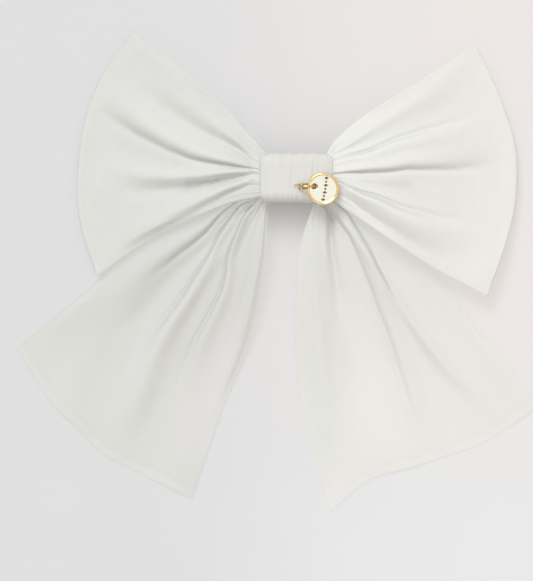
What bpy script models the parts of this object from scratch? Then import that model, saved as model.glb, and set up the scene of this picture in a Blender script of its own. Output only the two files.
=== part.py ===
"""Hair bow: two tulle loops, two tails and a gathered knot on a spring barrette, with a disc charm.

Axes: +X to the bow's right, +Y up the bow, +Z out of its face. The bow lies on its back on z = 0.
All dimensions below are in millimetres and are turned into metres where the shapes are made.
"""

from math import cos, pi, radians, sin, sqrt

import bmesh
import bpy
from mathutils import Matrix, Vector

MM = 0.001

# barrette
PLATE_TOP = 9.6
PLATE_DROP = 2.2
PLATE_REACH = 40.0
PLATE_SKIN = 0.8
PLATE_DEPTH = 2.0
PLATE_LEFT, PLATE_RIGHT = -40.5, 41.0
PLATE_HALF = 4.0
PLATE_INNER_HALF = 3.3
PLATE_CORNER = 3.0
SEW_HOLE_X = (-29.0, 30.5)
SEW_HOLE_RADIUS = 0.9
HINGE_X, HINGE_Z = -36.0, 4.3
LUG_RADIUS = 2.0
LUG_THICK = 0.6
LUG_Y = 3.65
LUG_TOP = 6.6
PIN_RADIUS = 0.6
PIN_HOLE = 0.66
PIN_LENGTH = 8.8
PIN_HEAD_RADIUS, PIN_HEAD_THICK = 1.1, 0.4
ARM_THICK = 0.8
ARM_HALF = 2.9
ARM_LEFT = -36.5
ARM_RAMP = (29.0, 34.5)
ARM_END = 40.5
ARM_END_RISE = 3.0
ARM_END_HALF = 4.2
ARM_LUG_RADIUS = 1.6
ARM_LUG_Y = 2.6
ARM_PIN_HOLE = 0.7
CATCH_SLOT = (35.5, 38.7)
CATCH_SLOT_HALF = 3.05
PRONG_Y, PRONG_THICK = 2.3, 0.6
PRONG_TOP, PRONG_PIVOT_Z, PRONG_FOOT = 6.15, 5.8, 1.0
PRONG_STEM = (35.9, 38.3)
PRONG_TAB = (41.0, 43.2)
PRONG_TAB_FOOT, PRONG_NECK = 1.5, 4.2
BARB_OUT, BARB_TOP, BARB_FOOT = 3.5, 2.75, 1.3
LEAF_MID, LEAF_RISE, LEAF_REACH = 5.3, 1.5, 32.0
LEAF_THICK, LEAF_HALF = 0.4, 2.2
LEAF_LEFT, LEAF_RIGHT = -31.0, 32.0

# knot
WRAP_HALF_X = 13.0
WRAP_HALF_Y = 9.1
WRAP_BOTTOM, WRAP_TOP = 11.6, 20.4
WRAP_WALL = 1.5
WRAP_CORNER = 3.8
WAIST_HALF_X = 13.2
WAIST_BOTTOM, WAIST_PINCH_RISE = 13.95, 0.2
WAIST_PINCH_X, WAIST_PINCH_HALF_Y, WAIST_SPREAD_Y = 1.9, 5.7, 1.3
WAIST_TOP, WAIST_SPREAD_TOP = 17.3, 1.1
WAIST_CORNER = 1.5
FOLD_BOTTOM, FOLD_TOP = 9.9, 11.3
FOLD_BOX = (-12.0, 8.0, -6.6, 5.2)
FOLD_CORNER = 2.0
KNUCKLE_RADIUS = 3.2
LEFT_PIVOT = (-12.5, -7.0)
RIGHT_PIVOT = (8.0, -6.5)
THREAD_RADIUS = 0.25
GATHER_TURNS, GATHER_PITCH = 3, 0.8
GATHER_HALF_Y, GATHER_LOW, GATHER_HIGH, GATHER_CORNER = 6.15, 13.75, 17.8, 1.8
LASH_X = (-3.5, 3.5)
LASH_TURNS, LASH_PITCH = 3, 0.7
LASH_HALF_Y, LASH_LOW, LASH_HIGH, LASH_CORNER = 4.75, 7.1, 13.35, 0.35
LASH_HOLE_MARGIN, LASH_HOLE_HALF_Y = 0.35, 0.5

# charm
RING_CENTRE = (3.6, -3.4, 21.3)
RING_RADIUS, RING_WIRE = 2.85, 0.45
RING_GAP_DEG, RING_GAP_AT_DEG = 3.0, 60.0
BAR_X, BAR_Z = 1.75, 20.75
BAR_HALF_Y, BAR_FOOT, BAR_RADIUS = 1.9, 18.55, 0.3
BAR_BEND, BAR_HOLE_MARGIN = 0.5, 0.15
TRENCH_X, TRENCH_HALF_Y, TRENCH_CORNER = (-2.7, 7.9), 0.9, 0.5
TRENCH_HALF_Z = 1.6
DISC_CENTRE = (9.5, -4.3)
DISC_RADIUS, DISC_HOLE = 5.7, 1.0
DISC_BOTTOM, DISC_THICK = 20.9, 0.8
DISC_RIM, DISC_RIM_RISE = 0.75, 0.14

# cloth outlines: each is a run of (x, y) points in the bow's plane
LOOP_ROOT_X = 13.6
LOOP_AXIS_X, LOOP_AXIS_Z, LOOP_ROOT_RADIUS = 16.4, 15.9, 2.8
LEFT_LOOP_TOP = ((-13.6, 12.4), (-27.0, 26.6), (-42.0, 40.2), (-59.5, 52.9))
LEFT_LOOP_OUTER = ((-72.3, -35.0), (-77.6, -18.0), (-79.1, -2.2), (-76.3, 20.8), (-69.5, 38.5), (-59.5, 52.9))
LEFT_LOOP_BOTTOM = ((-13.6, -4.2), (-27.0, -8.2), (-54.0, -21.9), (-72.3, -35.0))
RIGHT_LOOP_TOP = ((13.6, 13.4), (21.9, 20.6), (40.9, 32.9), (65.0, 48.5))
RIGHT_LOOP_OUTER = ((69.0, -42.3), (75.9, -22.6), (79.2, -7.7), (79.1, 11.3), (73.4, 30.3), (65.0, 48.5))
RIGHT_LOOP_BOTTOM = ((13.6, -8.6), (21.9, -14.4), (46.2, -30.3), (69.0, -42.3))
LOOP_MID_THICK, LOOP_END_THICK, LOOP_EDGE_SHARE = 6.4, 2.6, 0.3
LOOP_LENGTH = 66.0
LOOP_ROOT_STATIONS = (0.0, 0.5, 1.4, 2.9)
LEFT_LOOP_END_Z, RIGHT_LOOP_END_Z = 4.2, 5.4
CORNER_LIFT = 3.0

TAIL_ROOT_RADIUS = 3.5
LEFT_TAIL_ROOT_DEG = (180.0, 305.0)
LEFT_TAIL_UPPER = ((-27.5, -7.2), (-54.0, -19.6), (-75.2, -39.4), (-102.6, -61.7))
LEFT_TAIL_HEM = ((-102.6, -61.7), (-90.5, -80.7), (-81.0, -90.2), (-71.5, -100.0), (-59.5, -106.6), (-38.3, -116.6))
LEFT_TAIL_INNER = ((-11.2, -29.2), (-16.1, -56.6), (-27.0, -84.7), (-38.3, -116.6))
RIGHT_TAIL_ROOT_DEG = (350.0, 232.0)
RIGHT_TAIL_UPPER = ((22.0, -13.0), (46.2, -29.6), (67.9, -55.1), (89.0, -82.5))
RIGHT_TAIL_HEM = ((89.0, -82.5), (70.4, -95.6), (47.5, -103.7), (27.2, -110.0), (12.4, -121.9))
RIGHT_TAIL_INNER = ((0.6, -29.4), (0.2, -69.9), (4.2, -94.3), (12.4, -121.9))
TAIL_THICK = 1.4
TAIL_REST_Z = 0.75
TAIL_FALL = (11.0, 42.0)
TAIL_ROOT_STATIONS = (0.0, 0.035, 0.08)

ALONG, ACROSS = 15, 11


def start():
    for obj in list(bpy.data.objects):
        bpy.data.objects.remove(obj)
    made = []
    for name in ("bow_parts", "cutters"):
        collection = bpy.data.collections.new(name)
        bpy.context.scene.collection.children.link(collection)
        made.append(collection)
    made[1].hide_render = True
    return made


PARTS, CUTTERS = start()


def material(name, colour, metallic=0.0, roughness=0.6, alpha=1.0):
    made = bpy.data.materials.new(name)
    made.use_nodes = True
    shader = made.node_tree.nodes["Principled BSDF"]
    shader.inputs["Base Color"].default_value = (*colour, 1.0)
    shader.inputs["Metallic"].default_value = metallic
    shader.inputs["Roughness"].default_value = roughness
    shader.inputs["Alpha"].default_value = alpha
    made.diffuse_color = (*colour, 1.0)
    return made


TULLE = material("ivory tulle", (0.80, 0.80, 0.76), roughness=0.75)
WRAP_TULLE = material("gathered tulle", (0.84, 0.82, 0.78), roughness=0.7)
THREAD = material("ivory thread", (0.82, 0.80, 0.74), roughness=0.8)
NICKEL = material("nickel steel", (0.62, 0.62, 0.60), 1.0, 0.32)
SPRING = material("spring steel", (0.52, 0.52, 0.51), 1.0, 0.36)
GOLD = material("gold plate", (0.78, 0.60, 0.36), 1.0, 0.25)
PALE_GOLD = material("pale gold plate", (0.90, 0.84, 0.72), 1.0, 0.14)


def linked(name, mesh, collection, surface=None):
    obj = bpy.data.objects.new(name, mesh)
    collection.objects.link(obj)
    if surface:
        mesh.materials.append(surface)
    return obj


def hide(obj):
    obj.hide_render = True
    obj.display_type = "WIRE"
    return obj


def finished(name, bm, surface, collection=None):
    """A mesh object from a bmesh in millimetres."""
    bmesh.ops.recalc_face_normals(bm, faces=bm.faces)
    mesh = bpy.data.meshes.new(name)
    bm.to_mesh(mesh)
    bm.free()
    mesh.transform(Matrix.Scale(MM, 4))
    return linked(name, mesh, collection or PARTS, surface)


def from_curve(name, curve, surface, collection, turn=Matrix.Identity(4)):
    """A curve in millimetres made into a mesh, turned and scaled to metres."""
    holder = bpy.data.objects.new(name + "_outline", curve)
    CUTTERS.objects.link(holder)
    bpy.context.view_layer.update()
    mesh = bpy.data.meshes.new_from_object(holder.evaluated_get(bpy.context.evaluated_depsgraph_get()))
    bpy.data.objects.remove(holder)
    bm = bmesh.new()
    bm.from_mesh(mesh)
    bm.transform(turn)
    bmesh.ops.remove_doubles(bm, verts=bm.verts, dist=1e-4)
    bpy.data.meshes.remove(mesh)
    return finished(name, bm, surface, collection)


def sheet_metal(name, outlines, half, surface=None, turn=Matrix.Identity(4), collection=None):
    """Flat outlines, the first solid and the rest holes, extruded half each way along their normal."""
    curve = bpy.data.curves.new(name, "CURVE")
    curve.dimensions = "2D"
    curve.fill_mode = "BOTH"
    curve.extrude = half
    for outline in outlines:
        spline = curve.splines.new("POLY")
        spline.points.add(len(outline) - 1)
        for point, (a, b) in zip(spline.points, outline):
            point.co = (a, b, 0.0, 1.0)
        spline.use_cyclic_u = True
    return from_curve(name, curve, surface, collection or CUTTERS, turn)


def wire(name, path, radius, surface, closed=False):
    curve = bpy.data.curves.new(name, "CURVE")
    curve.dimensions = "3D"
    curve.bevel_depth = radius
    curve.bevel_resolution = 2
    curve.use_fill_caps = True
    spline = curve.splines.new("POLY")
    spline.points.add(len(path) - 1)
    for point, place in zip(spline.points, path):
        point.co = (*place, 1.0)
    spline.use_cyclic_u = closed
    return from_curve(name, curve, surface, PARTS)


SIDE_ON = Matrix.Rotation(radians(90), 4, "X")  # an outline drawn as (x, z), with its thickness along Y
END_ON = Matrix(((0, 0, 1, 0), (1, 0, 0, 0), (0, 1, 0, 0), (0, 0, 0, 1)))  # an outline drawn as (y, z), with its thickness along X


def shifted(x=0.0, y=0.0, z=0.0):
    return Matrix.Translation((x, y, z))


def arc(cx, cy, radius, start_deg, end_deg, steps):
    return [
        (cx + radius * cos(radians(start_deg + (end_deg - start_deg) * i / steps)),
         cy + radius * sin(radians(start_deg + (end_deg - start_deg) * i / steps)))
        for i in range(steps + 1)
    ]


def circle(cx, cy, radius, steps=24):
    return arc(cx, cy, radius, 0, 360, steps)[:-1]


def rounded_box(x0, x1, y0, y1, radius, steps=4):
    return (
        arc(x1 - radius, y1 - radius, radius, 0, 90, steps)
        + arc(x0 + radius, y1 - radius, radius, 90, 180, steps)
        + arc(x0 + radius, y0 + radius, radius, 180, 270, steps)
        + arc(x1 - radius, y0 + radius, radius, 270, 360, steps)
    )


def boolean(target, operation, *tools):
    """Applies EXACT Booleans and keeps the tools as hidden cutters."""
    for tool in tools:
        step = target.modifiers.new(operation.lower(), "BOOLEAN")
        step.operation = operation
        step.solver = "EXACT"
        step.object = tool
        bpy.context.view_layer.update()
        mesh = bpy.data.meshes.new_from_object(target.evaluated_get(bpy.context.evaluated_depsgraph_get()))
        target.modifiers.clear()
        old, target.data = target.data, mesh
        bpy.data.meshes.remove(old)
        hide(tool)
    return target


def promote(obj, surface):
    """Moves a shape built among the cutters to the bow's own parts."""
    CUTTERS.objects.unlink(obj)
    PARTS.objects.link(obj)
    obj.data.materials.clear()
    obj.data.materials.append(surface)
    return obj


def pivot_at(obj, x, y, z):
    """Puts the object's origin on its joint axis and leaves the shape where it is."""
    place = Vector((x, y, z)) * MM
    obj.data.transform(Matrix.Translation(-place))
    obj.location = place
    return obj


def drum(name, radius, length, axis_turn, surface=None, steps=24):
    return sheet_metal(name, [circle(0, 0, radius, steps)], length / 2, surface, axis_turn)


# ---- barrette


def plate_top(x):
    return PLATE_TOP - PLATE_DROP * (x / PLATE_REACH) ** 2


def arch(x0, x1, depth_from, depth_to, steps=20):
    """Side outline of a strip that follows the plate's arch, between two depths under its top."""
    stations = [x0 + (x1 - x0) * i / steps for i in range(steps + 1)]
    return [(x, plate_top(x) - depth_from) for x in stations] + [
        (x, plate_top(x) - depth_to) for x in reversed(stations)
    ]


def base_plate():
    plate = sheet_metal("base_plate", [arch(PLATE_LEFT - 1, PLATE_RIGHT + 1, 0, PLATE_DEPTH)], PLATE_HALF + 1, None, SIDE_ON)
    outline = rounded_box(PLATE_LEFT, PLATE_RIGHT, -PLATE_HALF, PLATE_HALF, PLATE_CORNER)
    boolean(plate, "INTERSECT", sheet_metal("cut_plate_outline", [outline], 10, None, shifted(z=PLATE_TOP)))
    channel = sheet_metal(
        "cut_plate_channel", [arch(PLATE_LEFT - 2, PLATE_RIGHT + 2, PLATE_SKIN, PLATE_DEPTH + 2)], PLATE_INNER_HALF, None, SIDE_ON
    )
    boolean(plate, "DIFFERENCE", channel)
    lug = (
        [(HINGE_X + LUG_RADIUS, LUG_TOP)]
        + [(HINGE_X - LUG_RADIUS, LUG_TOP)]
        + arc(HINGE_X, HINGE_Z, LUG_RADIUS, 180, 360, 10)
    )
    for side in (-1, 1):
        boolean(plate, "UNION", sheet_metal(f"add_lug_{side}", [lug], LUG_THICK / 2, None, shifted(y=side * LUG_Y) @ SIDE_ON))
    bore = drum("cut_pin_hole", PIN_HOLE, 20, shifted(HINGE_X, 0, HINGE_Z) @ SIDE_ON)
    boolean(plate, "DIFFERENCE", bore)
    for i, x in enumerate(SEW_HOLE_X):
        boolean(plate, "DIFFERENCE", drum(f"cut_sew_hole_{i}", SEW_HOLE_RADIUS, 12, shifted(x, 0, plate_top(x)), steps=16))
    return promote(plate, NICKEL)


def hinge_pin():
    pin = drum("hinge_pin", PIN_RADIUS, PIN_LENGTH, shifted(HINGE_X, 0, HINGE_Z) @ SIDE_ON)
    for side in (-1, 1):
        y = side * (PIN_LENGTH / 2 + PIN_HEAD_THICK / 2 - 0.05)
        boolean(pin, "UNION", drum(f"add_pin_head_{side}", PIN_HEAD_RADIUS, PIN_HEAD_THICK, shifted(HINGE_X, y, HINGE_Z) @ SIDE_ON))
    return promote(pin, SPRING)


def clasp_arm():
    ramp_start, ramp_end = ARM_RAMP
    side = [
        (ARM_LEFT, 0), (ramp_start, 0), (ramp_end, ARM_END_RISE), (ARM_END, ARM_END_RISE),
        (ARM_END, ARM_END_RISE + ARM_THICK), (ramp_end - 0.3, ARM_END_RISE + ARM_THICK),
        (ramp_start - 0.3, ARM_THICK), (ARM_LEFT, ARM_THICK),
    ]
    arm = sheet_metal("clasp_arm", [side], ARM_END_HALF + 1, None, SIDE_ON)
    plan = (
        [(ARM_LEFT - 1, -ARM_HALF), (ramp_start, -ARM_HALF), (ramp_end, -ARM_END_HALF)]
        + arc(ARM_END - 1.2, -ARM_END_HALF + 1.2, 1.2, 270, 360, 4)
        + arc(ARM_END - 1.2, ARM_END_HALF - 1.2, 1.2, 0, 90, 4)
        + [(ramp_end, ARM_END_HALF), (ramp_start, ARM_HALF), (ARM_LEFT - 1, ARM_HALF)]
    )
    boolean(arm, "INTERSECT", sheet_metal("cut_arm_plan", [plan], 12, None))
    slot = rounded_box(CATCH_SLOT[0], CATCH_SLOT[1], -CATCH_SLOT_HALF, CATCH_SLOT_HALF, 0.4, 2)
    boolean(arm, "DIFFERENCE", sheet_metal("cut_catch_slot", [slot], 8, None))
    lug = [(HINGE_X + 5.0, ARM_THICK / 2)] + arc(HINGE_X, HINGE_Z, ARM_LUG_RADIUS, 10, 180, 8) + [
        (HINGE_X - ARM_LUG_RADIUS, HINGE_Z - 1.5), (ARM_LEFT + 0.1, ARM_THICK / 2),
    ]
    for hand in (-1, 1):
        boolean(arm, "UNION", sheet_metal(f"add_arm_lug_{hand}", [lug], LUG_THICK / 2 - 0.05, None, shifted(y=hand * ARM_LUG_Y) @ SIDE_ON))
    boolean(arm, "DIFFERENCE", drum("cut_arm_pin_hole", ARM_PIN_HOLE, 14, shifted(HINGE_X, 0, HINGE_Z) @ SIDE_ON))
    return pivot_at(promote(arm, NICKEL), HINGE_X, 0, HINGE_Z)


def tension_bar():
    steps = 18
    stations = [LEAF_LEFT + (LEAF_RIGHT - LEAF_LEFT) * i / steps for i in range(steps + 1)]

    def low(x):
        return LEAF_MID + LEAF_RISE * (x / LEAF_REACH) ** 2

    side = [(x, low(x)) for x in stations] + [(x, low(x) + LEAF_THICK) for x in reversed(stations)]
    bar = sheet_metal("tension_bar", [side], LEAF_HALF + 1, None, SIDE_ON)
    plan = rounded_box(LEAF_LEFT, LEAF_RIGHT, -LEAF_HALF, LEAF_HALF, 1.6)
    boolean(bar, "INTERSECT", sheet_metal("cut_bar_plan", [plan], 10, None, shifted(z=LEAF_MID)))
    return promote(bar, SPRING)


def prong(name, hand):
    stem0, stem1 = PRONG_STEM
    tab0, tab1 = PRONG_TAB
    flag = [
        (stem0, PRONG_TOP), (stem0, PRONG_FOOT), (stem1, PRONG_FOOT), (stem1, PRONG_NECK),
        (tab0, PRONG_NECK), (tab0, PRONG_TAB_FOOT), (tab1, PRONG_TAB_FOOT), (tab1, PRONG_TOP),
    ]
    leg = sheet_metal(name, [flag], PRONG_THICK / 2, None, shifted(y=hand * PRONG_Y) @ SIDE_ON)
    barb = [
        (hand * PRONG_Y, BARB_TOP), (hand * BARB_OUT, BARB_TOP), (hand * (PRONG_Y + PRONG_THICK / 2 + 0.05), BARB_FOOT),
        (hand * PRONG_Y, BARB_FOOT),
    ]
    middle, half = (stem0 + stem1) / 2, (stem1 - stem0) / 2 - 0.15
    boolean(leg, "UNION", sheet_metal(f"add_barb_{name}", [barb], half, None, shifted(x=middle) @ END_ON))
    return pivot_at(promote(leg, SPRING), middle, hand * PRONG_Y, PRONG_PIVOT_Z)


# ---- knot


def lash_slots(name, low, high):
    """Cutters for the holes that the lashing thread passes through."""
    made = []
    half_x = (LASH_TURNS - 1) * LASH_PITCH / 2 + THREAD_RADIUS + LASH_HOLE_MARGIN
    for i, x in enumerate(LASH_X):
        for side in (-1, 1):
            y = side * LASH_HALF_Y
            outline = rounded_box(x - half_x, x + half_x, y - LASH_HOLE_HALF_Y, y + LASH_HOLE_HALF_Y, 0.3, 2)
            made.append(sheet_metal(f"{name}_{i}_{side}", [outline], (high - low) / 2, None, shifted(z=(low + high) / 2)))
    return made


def centre_wrap():
    outer = rounded_box(-WRAP_HALF_Y, WRAP_HALF_Y, WRAP_BOTTOM, WRAP_TOP, WRAP_CORNER, 6)
    inner = rounded_box(
        -WRAP_HALF_Y + WRAP_WALL, WRAP_HALF_Y - WRAP_WALL, WRAP_BOTTOM + WRAP_WALL - 0.1, WRAP_TOP - WRAP_WALL, WRAP_CORNER - WRAP_WALL, 6
    )
    wrap = sheet_metal("centre_wrap", [outer, inner], WRAP_HALF_X, None, END_ON)
    boolean(wrap, "DIFFERENCE", *lash_slots("cut_wrap_slot", WRAP_BOTTOM - 1, WRAP_BOTTOM + WRAP_WALL + 0.6))
    trench = rounded_box(TRENCH_X[0], TRENCH_X[1], RING_CENTRE[1] - TRENCH_HALF_Y, RING_CENTRE[1] + TRENCH_HALF_Y, TRENCH_CORNER, 2)
    boolean(wrap, "DIFFERENCE", sheet_metal("cut_ring_trench", [trench], TRENCH_HALF_Z, None, shifted(z=WRAP_TOP)))
    for side in (-1, 1):
        hole = circle(BAR_X, RING_CENTRE[1] + side * BAR_HALF_Y, BAR_RADIUS + BAR_HOLE_MARGIN, 12)
        boolean(wrap, "DIFFERENCE", sheet_metal(f"cut_bar_hole_{side}", [hole], TRENCH_HALF_Z, None, shifted(z=WRAP_TOP)))
    return promote(wrap, WRAP_TULLE)


def gathered_waist():
    """The pinched middle of the loop strip, lofted from a tight waist to wider ends."""
    reach = WAIST_HALF_X - WAIST_PINCH_X
    one_side = [WAIST_PINCH_X + reach * share for share in (0.0, 0.35, 0.7, 1.0)]
    stations = [-x for x in reversed(one_side)] + one_side
    rings = []
    for x in stations:
        spread = (abs(x) - WAIST_PINCH_X) / reach
        half_y = WAIST_PINCH_HALF_Y + WAIST_SPREAD_Y * spread
        low = WAIST_BOTTOM + (WAIST_PINCH_RISE if spread == 0 else 0)
        high = WAIST_TOP + WAIST_SPREAD_TOP * spread**2
        rings.append([Vector((x, y, z)) for y, z in rounded_box(-half_y, half_y, low, high, WAIST_CORNER, 3)])
    bm = bmesh.new()
    rows = [[bm.verts.new(point) for point in ring] for ring in rings]
    for a, b in zip(rows, rows[1:]):
        for i in range(len(a)):
            j = (i + 1) % len(a)
            bm.faces.new((a[i], a[j], b[j], b[i]))
    bm.faces.new(rows[0])
    bm.faces.new(rows[-1])
    return finished("gathered_waist", bm, TULLE)


def coil(centre_x, turns, pitch, half_y, low, high, corner, corner_steps=3):
    """Centre line of a thread wound round a rounded box in the YZ plane while it moves along X."""
    loop = rounded_box(-half_y, half_y, low, high, corner, corner_steps)
    total = len(loop) * turns
    return [
        (centre_x + pitch * (i / len(loop) - turns / 2), *loop[i % len(loop)])
        for i in range(total + 1)
    ]


def gather_thread():
    path = coil(0.0, GATHER_TURNS, GATHER_PITCH, GATHER_HALF_Y, GATHER_LOW, GATHER_HIGH, GATHER_CORNER)
    return wire("gather_thread", path, THREAD_RADIUS, THREAD)


def lashing(name, x):
    path = coil(x, LASH_TURNS, LASH_PITCH, LASH_HALF_Y, LASH_LOW, LASH_HIGH, LASH_CORNER, 2)
    return wire(name, path[1:-1], THREAD_RADIUS, THREAD)


def tail_fold():
    """The folded top of the tail strip, held between the knot and the barrette."""
    x0, x1, y0, y1 = FOLD_BOX
    half, middle = (FOLD_TOP - FOLD_BOTTOM) / 2, (FOLD_TOP + FOLD_BOTTOM) / 2
    fold = sheet_metal("tail_fold", [rounded_box(x0, x1, y0, y1, FOLD_CORNER)], half, None, shifted(z=middle))
    for name, (x, y) in (("left", LEFT_PIVOT), ("right", RIGHT_PIVOT)):
        knuckle = sheet_metal(f"add_knuckle_{name}", [circle(x, y, KNUCKLE_RADIUS, 32)], half - 0.02, None, shifted(z=middle))
        boolean(fold, "UNION", knuckle)
    boolean(fold, "DIFFERENCE", *lash_slots("cut_fold_slot", FOLD_BOTTOM - 1, FOLD_TOP + 1))
    return promote(fold, TULLE)


# ---- charm


def charm_thread():
    x, y = BAR_X, RING_CENTRE[1]
    near, far, bend = y - BAR_HALF_Y, y + BAR_HALF_Y, BAR_BEND
    path = [(x, near, BAR_FOOT)]
    path += [(x, *place) for place in arc(near + bend, BAR_Z - bend, bend, 180, 90, 3)]
    path += [(x, *place) for place in arc(far - bend, BAR_Z - bend, bend, 90, 0, 3)]
    path += [(x, far, BAR_FOOT)]
    return wire("charm_thread", path, BAR_RADIUS, THREAD)


def jump_ring():
    x, y, z = RING_CENTRE
    steps = 36
    path = []
    for i in range(steps + 1):
        a = radians(RING_GAP_AT_DEG + RING_GAP_DEG / 2 + (360 - RING_GAP_DEG) * i / steps)
        path.append((x + RING_RADIUS * cos(a), y, z + RING_RADIUS * sin(a)))
    return pivot_at(wire("jump_ring", path, RING_WIRE, GOLD), BAR_X, y, BAR_Z)


def charm_disc():
    """A turned disc with a raised rim, with one hole near its edge."""
    steps = 48
    top, rim = DISC_BOTTOM + DISC_THICK - DISC_RIM_RISE, DISC_BOTTOM + DISC_THICK
    profile = [
        (0.0, top), (DISC_RADIUS - DISC_RIM, top), (DISC_RADIUS - DISC_RIM + 0.15, rim), (DISC_RADIUS - 0.15, rim),
        (DISC_RADIUS, rim - 0.15), (DISC_RADIUS, DISC_BOTTOM + 0.12), (DISC_RADIUS - 0.12, DISC_BOTTOM), (0.0, DISC_BOTTOM),
    ]
    mesh = bpy.data.meshes.new("charm_disc")
    mesh.from_pydata([(x * MM, 0, z * MM) for x, z in profile], [(i, i + 1) for i in range(len(profile) - 1)], [])
    disc = linked("charm_disc", mesh, CUTTERS)
    turn = disc.modifiers.new("turned", "SCREW")
    turn.steps = turn.render_steps = steps
    turn.use_merge_vertices = True
    turn.merge_threshold = 1e-5
    bpy.context.view_layer.update()
    turned = bpy.data.meshes.new_from_object(disc.evaluated_get(bpy.context.evaluated_depsgraph_get()))
    disc.modifiers.clear()
    disc.data = turned
    bpy.data.meshes.remove(mesh)
    bm = bmesh.new()
    bm.from_mesh(turned)
    bmesh.ops.remove_doubles(bm, verts=bm.verts, dist=1e-7)
    bmesh.ops.recalc_face_normals(bm, faces=bm.faces)
    bm.to_mesh(turned)
    bm.free()
    turned.transform(Matrix.Translation(Vector((*DISC_CENTRE, 0)) * MM))
    hole_x, hole_y = RING_CENTRE[0] + RING_RADIUS, RING_CENTRE[1]
    boolean(disc, "DIFFERENCE", sheet_metal("cut_disc_hole", [circle(hole_x, hole_y, DISC_HOLE, 20)], 3, None, shifted(z=DISC_BOTTOM)))
    return pivot_at(promote(disc, PALE_GOLD), hole_x, hole_y, RING_CENTRE[2])


# ---- cloth


def along(points, t):
    """The point a share t of the way along a smooth run through the points."""
    runs = [Vector(p) for p in points]
    lengths = [(b - a).length for a, b in zip(runs, runs[1:])]
    target = max(0.0, min(1.0, t)) * sum(lengths)
    i = 0
    while i < len(lengths) - 1 and target > lengths[i]:
        target -= lengths[i]
        i += 1
    u = min(1.0, target / lengths[i])
    a, b = runs[i], runs[i + 1]
    before = runs[i - 1] if i else a - (b - a)
    after = runs[i + 2] if i + 2 < len(runs) else b + (b - a)
    first = (b - before) * (lengths[i] / ((b - a).length + (a - before).length))
    last = (after - a) * (lengths[i] / ((b - a).length + (after - b).length))
    return (
        a * (2 * u**3 - 3 * u**2 + 1) + first * (u**3 - 2 * u**2 + u) + b * (-2 * u**3 + 3 * u**2) + last * (u**3 - u**2)
    )


def patch(root, end, low_side, high_side, s, v):
    """A point of the cloth inside four edges: s runs from root to end, v from the low side to the high side."""
    flat = along(root, v) * (1 - s) + along(end, v) * s + along(low_side, s) * (1 - v) + along(high_side, s) * v
    corners = (
        Vector(root[0]) * (1 - s) * (1 - v) + Vector(root[-1]) * (1 - s) * v + Vector(end[0]) * s * (1 - v) + Vector(end[-1]) * s * v
    )
    return flat - corners


def ease(t):
    t = max(0.0, min(1.0, t))
    return t * t * (3 - 2 * t)


def slab(name, surface, edges, height, thickness, stations):
    """A closed cloth solid over four edges. height and thickness take a point and its (s, v)."""
    bm = bmesh.new()
    upper, lower = [], []
    for s in stations:
        top_row, low_row = [], []
        for j in range(ACROSS + 1):
            v = j / ACROSS
            point = patch(*edges, s, v)
            z, half = height(point, s, v), thickness(point, s, v) / 2
            top_row.append(bm.verts.new((point.x, point.y, z + half)))
            low_row.append(bm.verts.new((point.x, point.y, z - half)))
        upper.append(top_row)
        lower.append(low_row)
    rows, columns = len(stations) - 1, ACROSS
    for i in range(rows):
        for j in range(columns):
            bm.faces.new((upper[i][j], upper[i][j + 1], upper[i + 1][j + 1], upper[i + 1][j]))
            bm.faces.new((lower[i][j], lower[i + 1][j], lower[i + 1][j + 1], lower[i][j + 1]))
        for j in (0, columns):
            bm.faces.new((upper[i][j], upper[i + 1][j], lower[i + 1][j], lower[i][j]))
    for j in range(columns):
        for i in (0, rows):
            bm.faces.new((upper[i][j], upper[i][j + 1], lower[i][j + 1], lower[i][j]))
    return finished(name, bm, surface)


def loop(name, top, outer, bottom, end_z, corner_lift):
    root = (bottom[0], top[0])
    reach = abs(outer[2][0])
    hand = 1 if top[0][0] > 0 else -1

    def height(point, s, v):
        share = ease((abs(point.x) - LOOP_AXIS_X) / (reach - LOOP_AXIS_X))
        lift = corner_lift * ease((s - 0.45) / 0.55) * ease((0.45 - v) / 0.45)
        return LOOP_AXIS_Z + (end_z - LOOP_AXIS_Z) * share + lift

    def thickness(point, s, v):
        inside = max(0.0, abs(point.x) - LOOP_ROOT_X)
        if inside < LOOP_ROOT_RADIUS:
            return 2 * sqrt(LOOP_ROOT_RADIUS**2 - (LOOP_ROOT_RADIUS - inside - 0.12) ** 2 + 0.1)
        body = 2 * LOOP_ROOT_RADIUS + (LOOP_MID_THICK - 2 * LOOP_ROOT_RADIUS) * ease(s / 0.4)
        body += (LOOP_END_THICK - body) * ease((s - 0.5) / 0.5)
        edge = 1 - (1 - LOOP_EDGE_SHARE) * abs(2 * v - 1) ** 4 * ease(s / 0.25)
        return body * edge

    stations = [x / LOOP_LENGTH for x in LOOP_ROOT_STATIONS]
    rounded, left = stations[-1], ALONG + 1 - len(stations)
    stations += [rounded + (1 - rounded) * i / left for i in range(1, left + 1)]
    made = slab(name, TULLE, (root, outer, bottom, top), height, thickness, stations)
    return pivot_at(made, hand * LOOP_AXIS_X, 0, LOOP_AXIS_Z)


def tail(name, pivot, root_deg, upper, hem, inner):
    root = arc(*pivot, TAIL_ROOT_RADIUS, *root_deg, 10)
    edges = (root, hem, (root[0], *upper), (root[-1], *inner))
    centre = Vector(pivot)

    def height(point, s, v):
        away = (point - centre).length
        high = (FOLD_BOTTOM + FOLD_TOP) / 2
        return high + (TAIL_REST_Z - high) * ease((away - TAIL_FALL[0]) / (TAIL_FALL[1] - TAIL_FALL[0]))

    def thickness(point, s, v):
        return TAIL_THICK

    stations = list(TAIL_ROOT_STATIONS)
    rooted, left = stations[-1], ALONG - 1
    stations += [rooted + (1 - rooted) * i / left for i in range(1, left + 1)]
    return pivot_at(slab(name, TULLE, edges, height, thickness, stations), *pivot, (FOLD_BOTTOM + FOLD_TOP) / 2)


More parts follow.
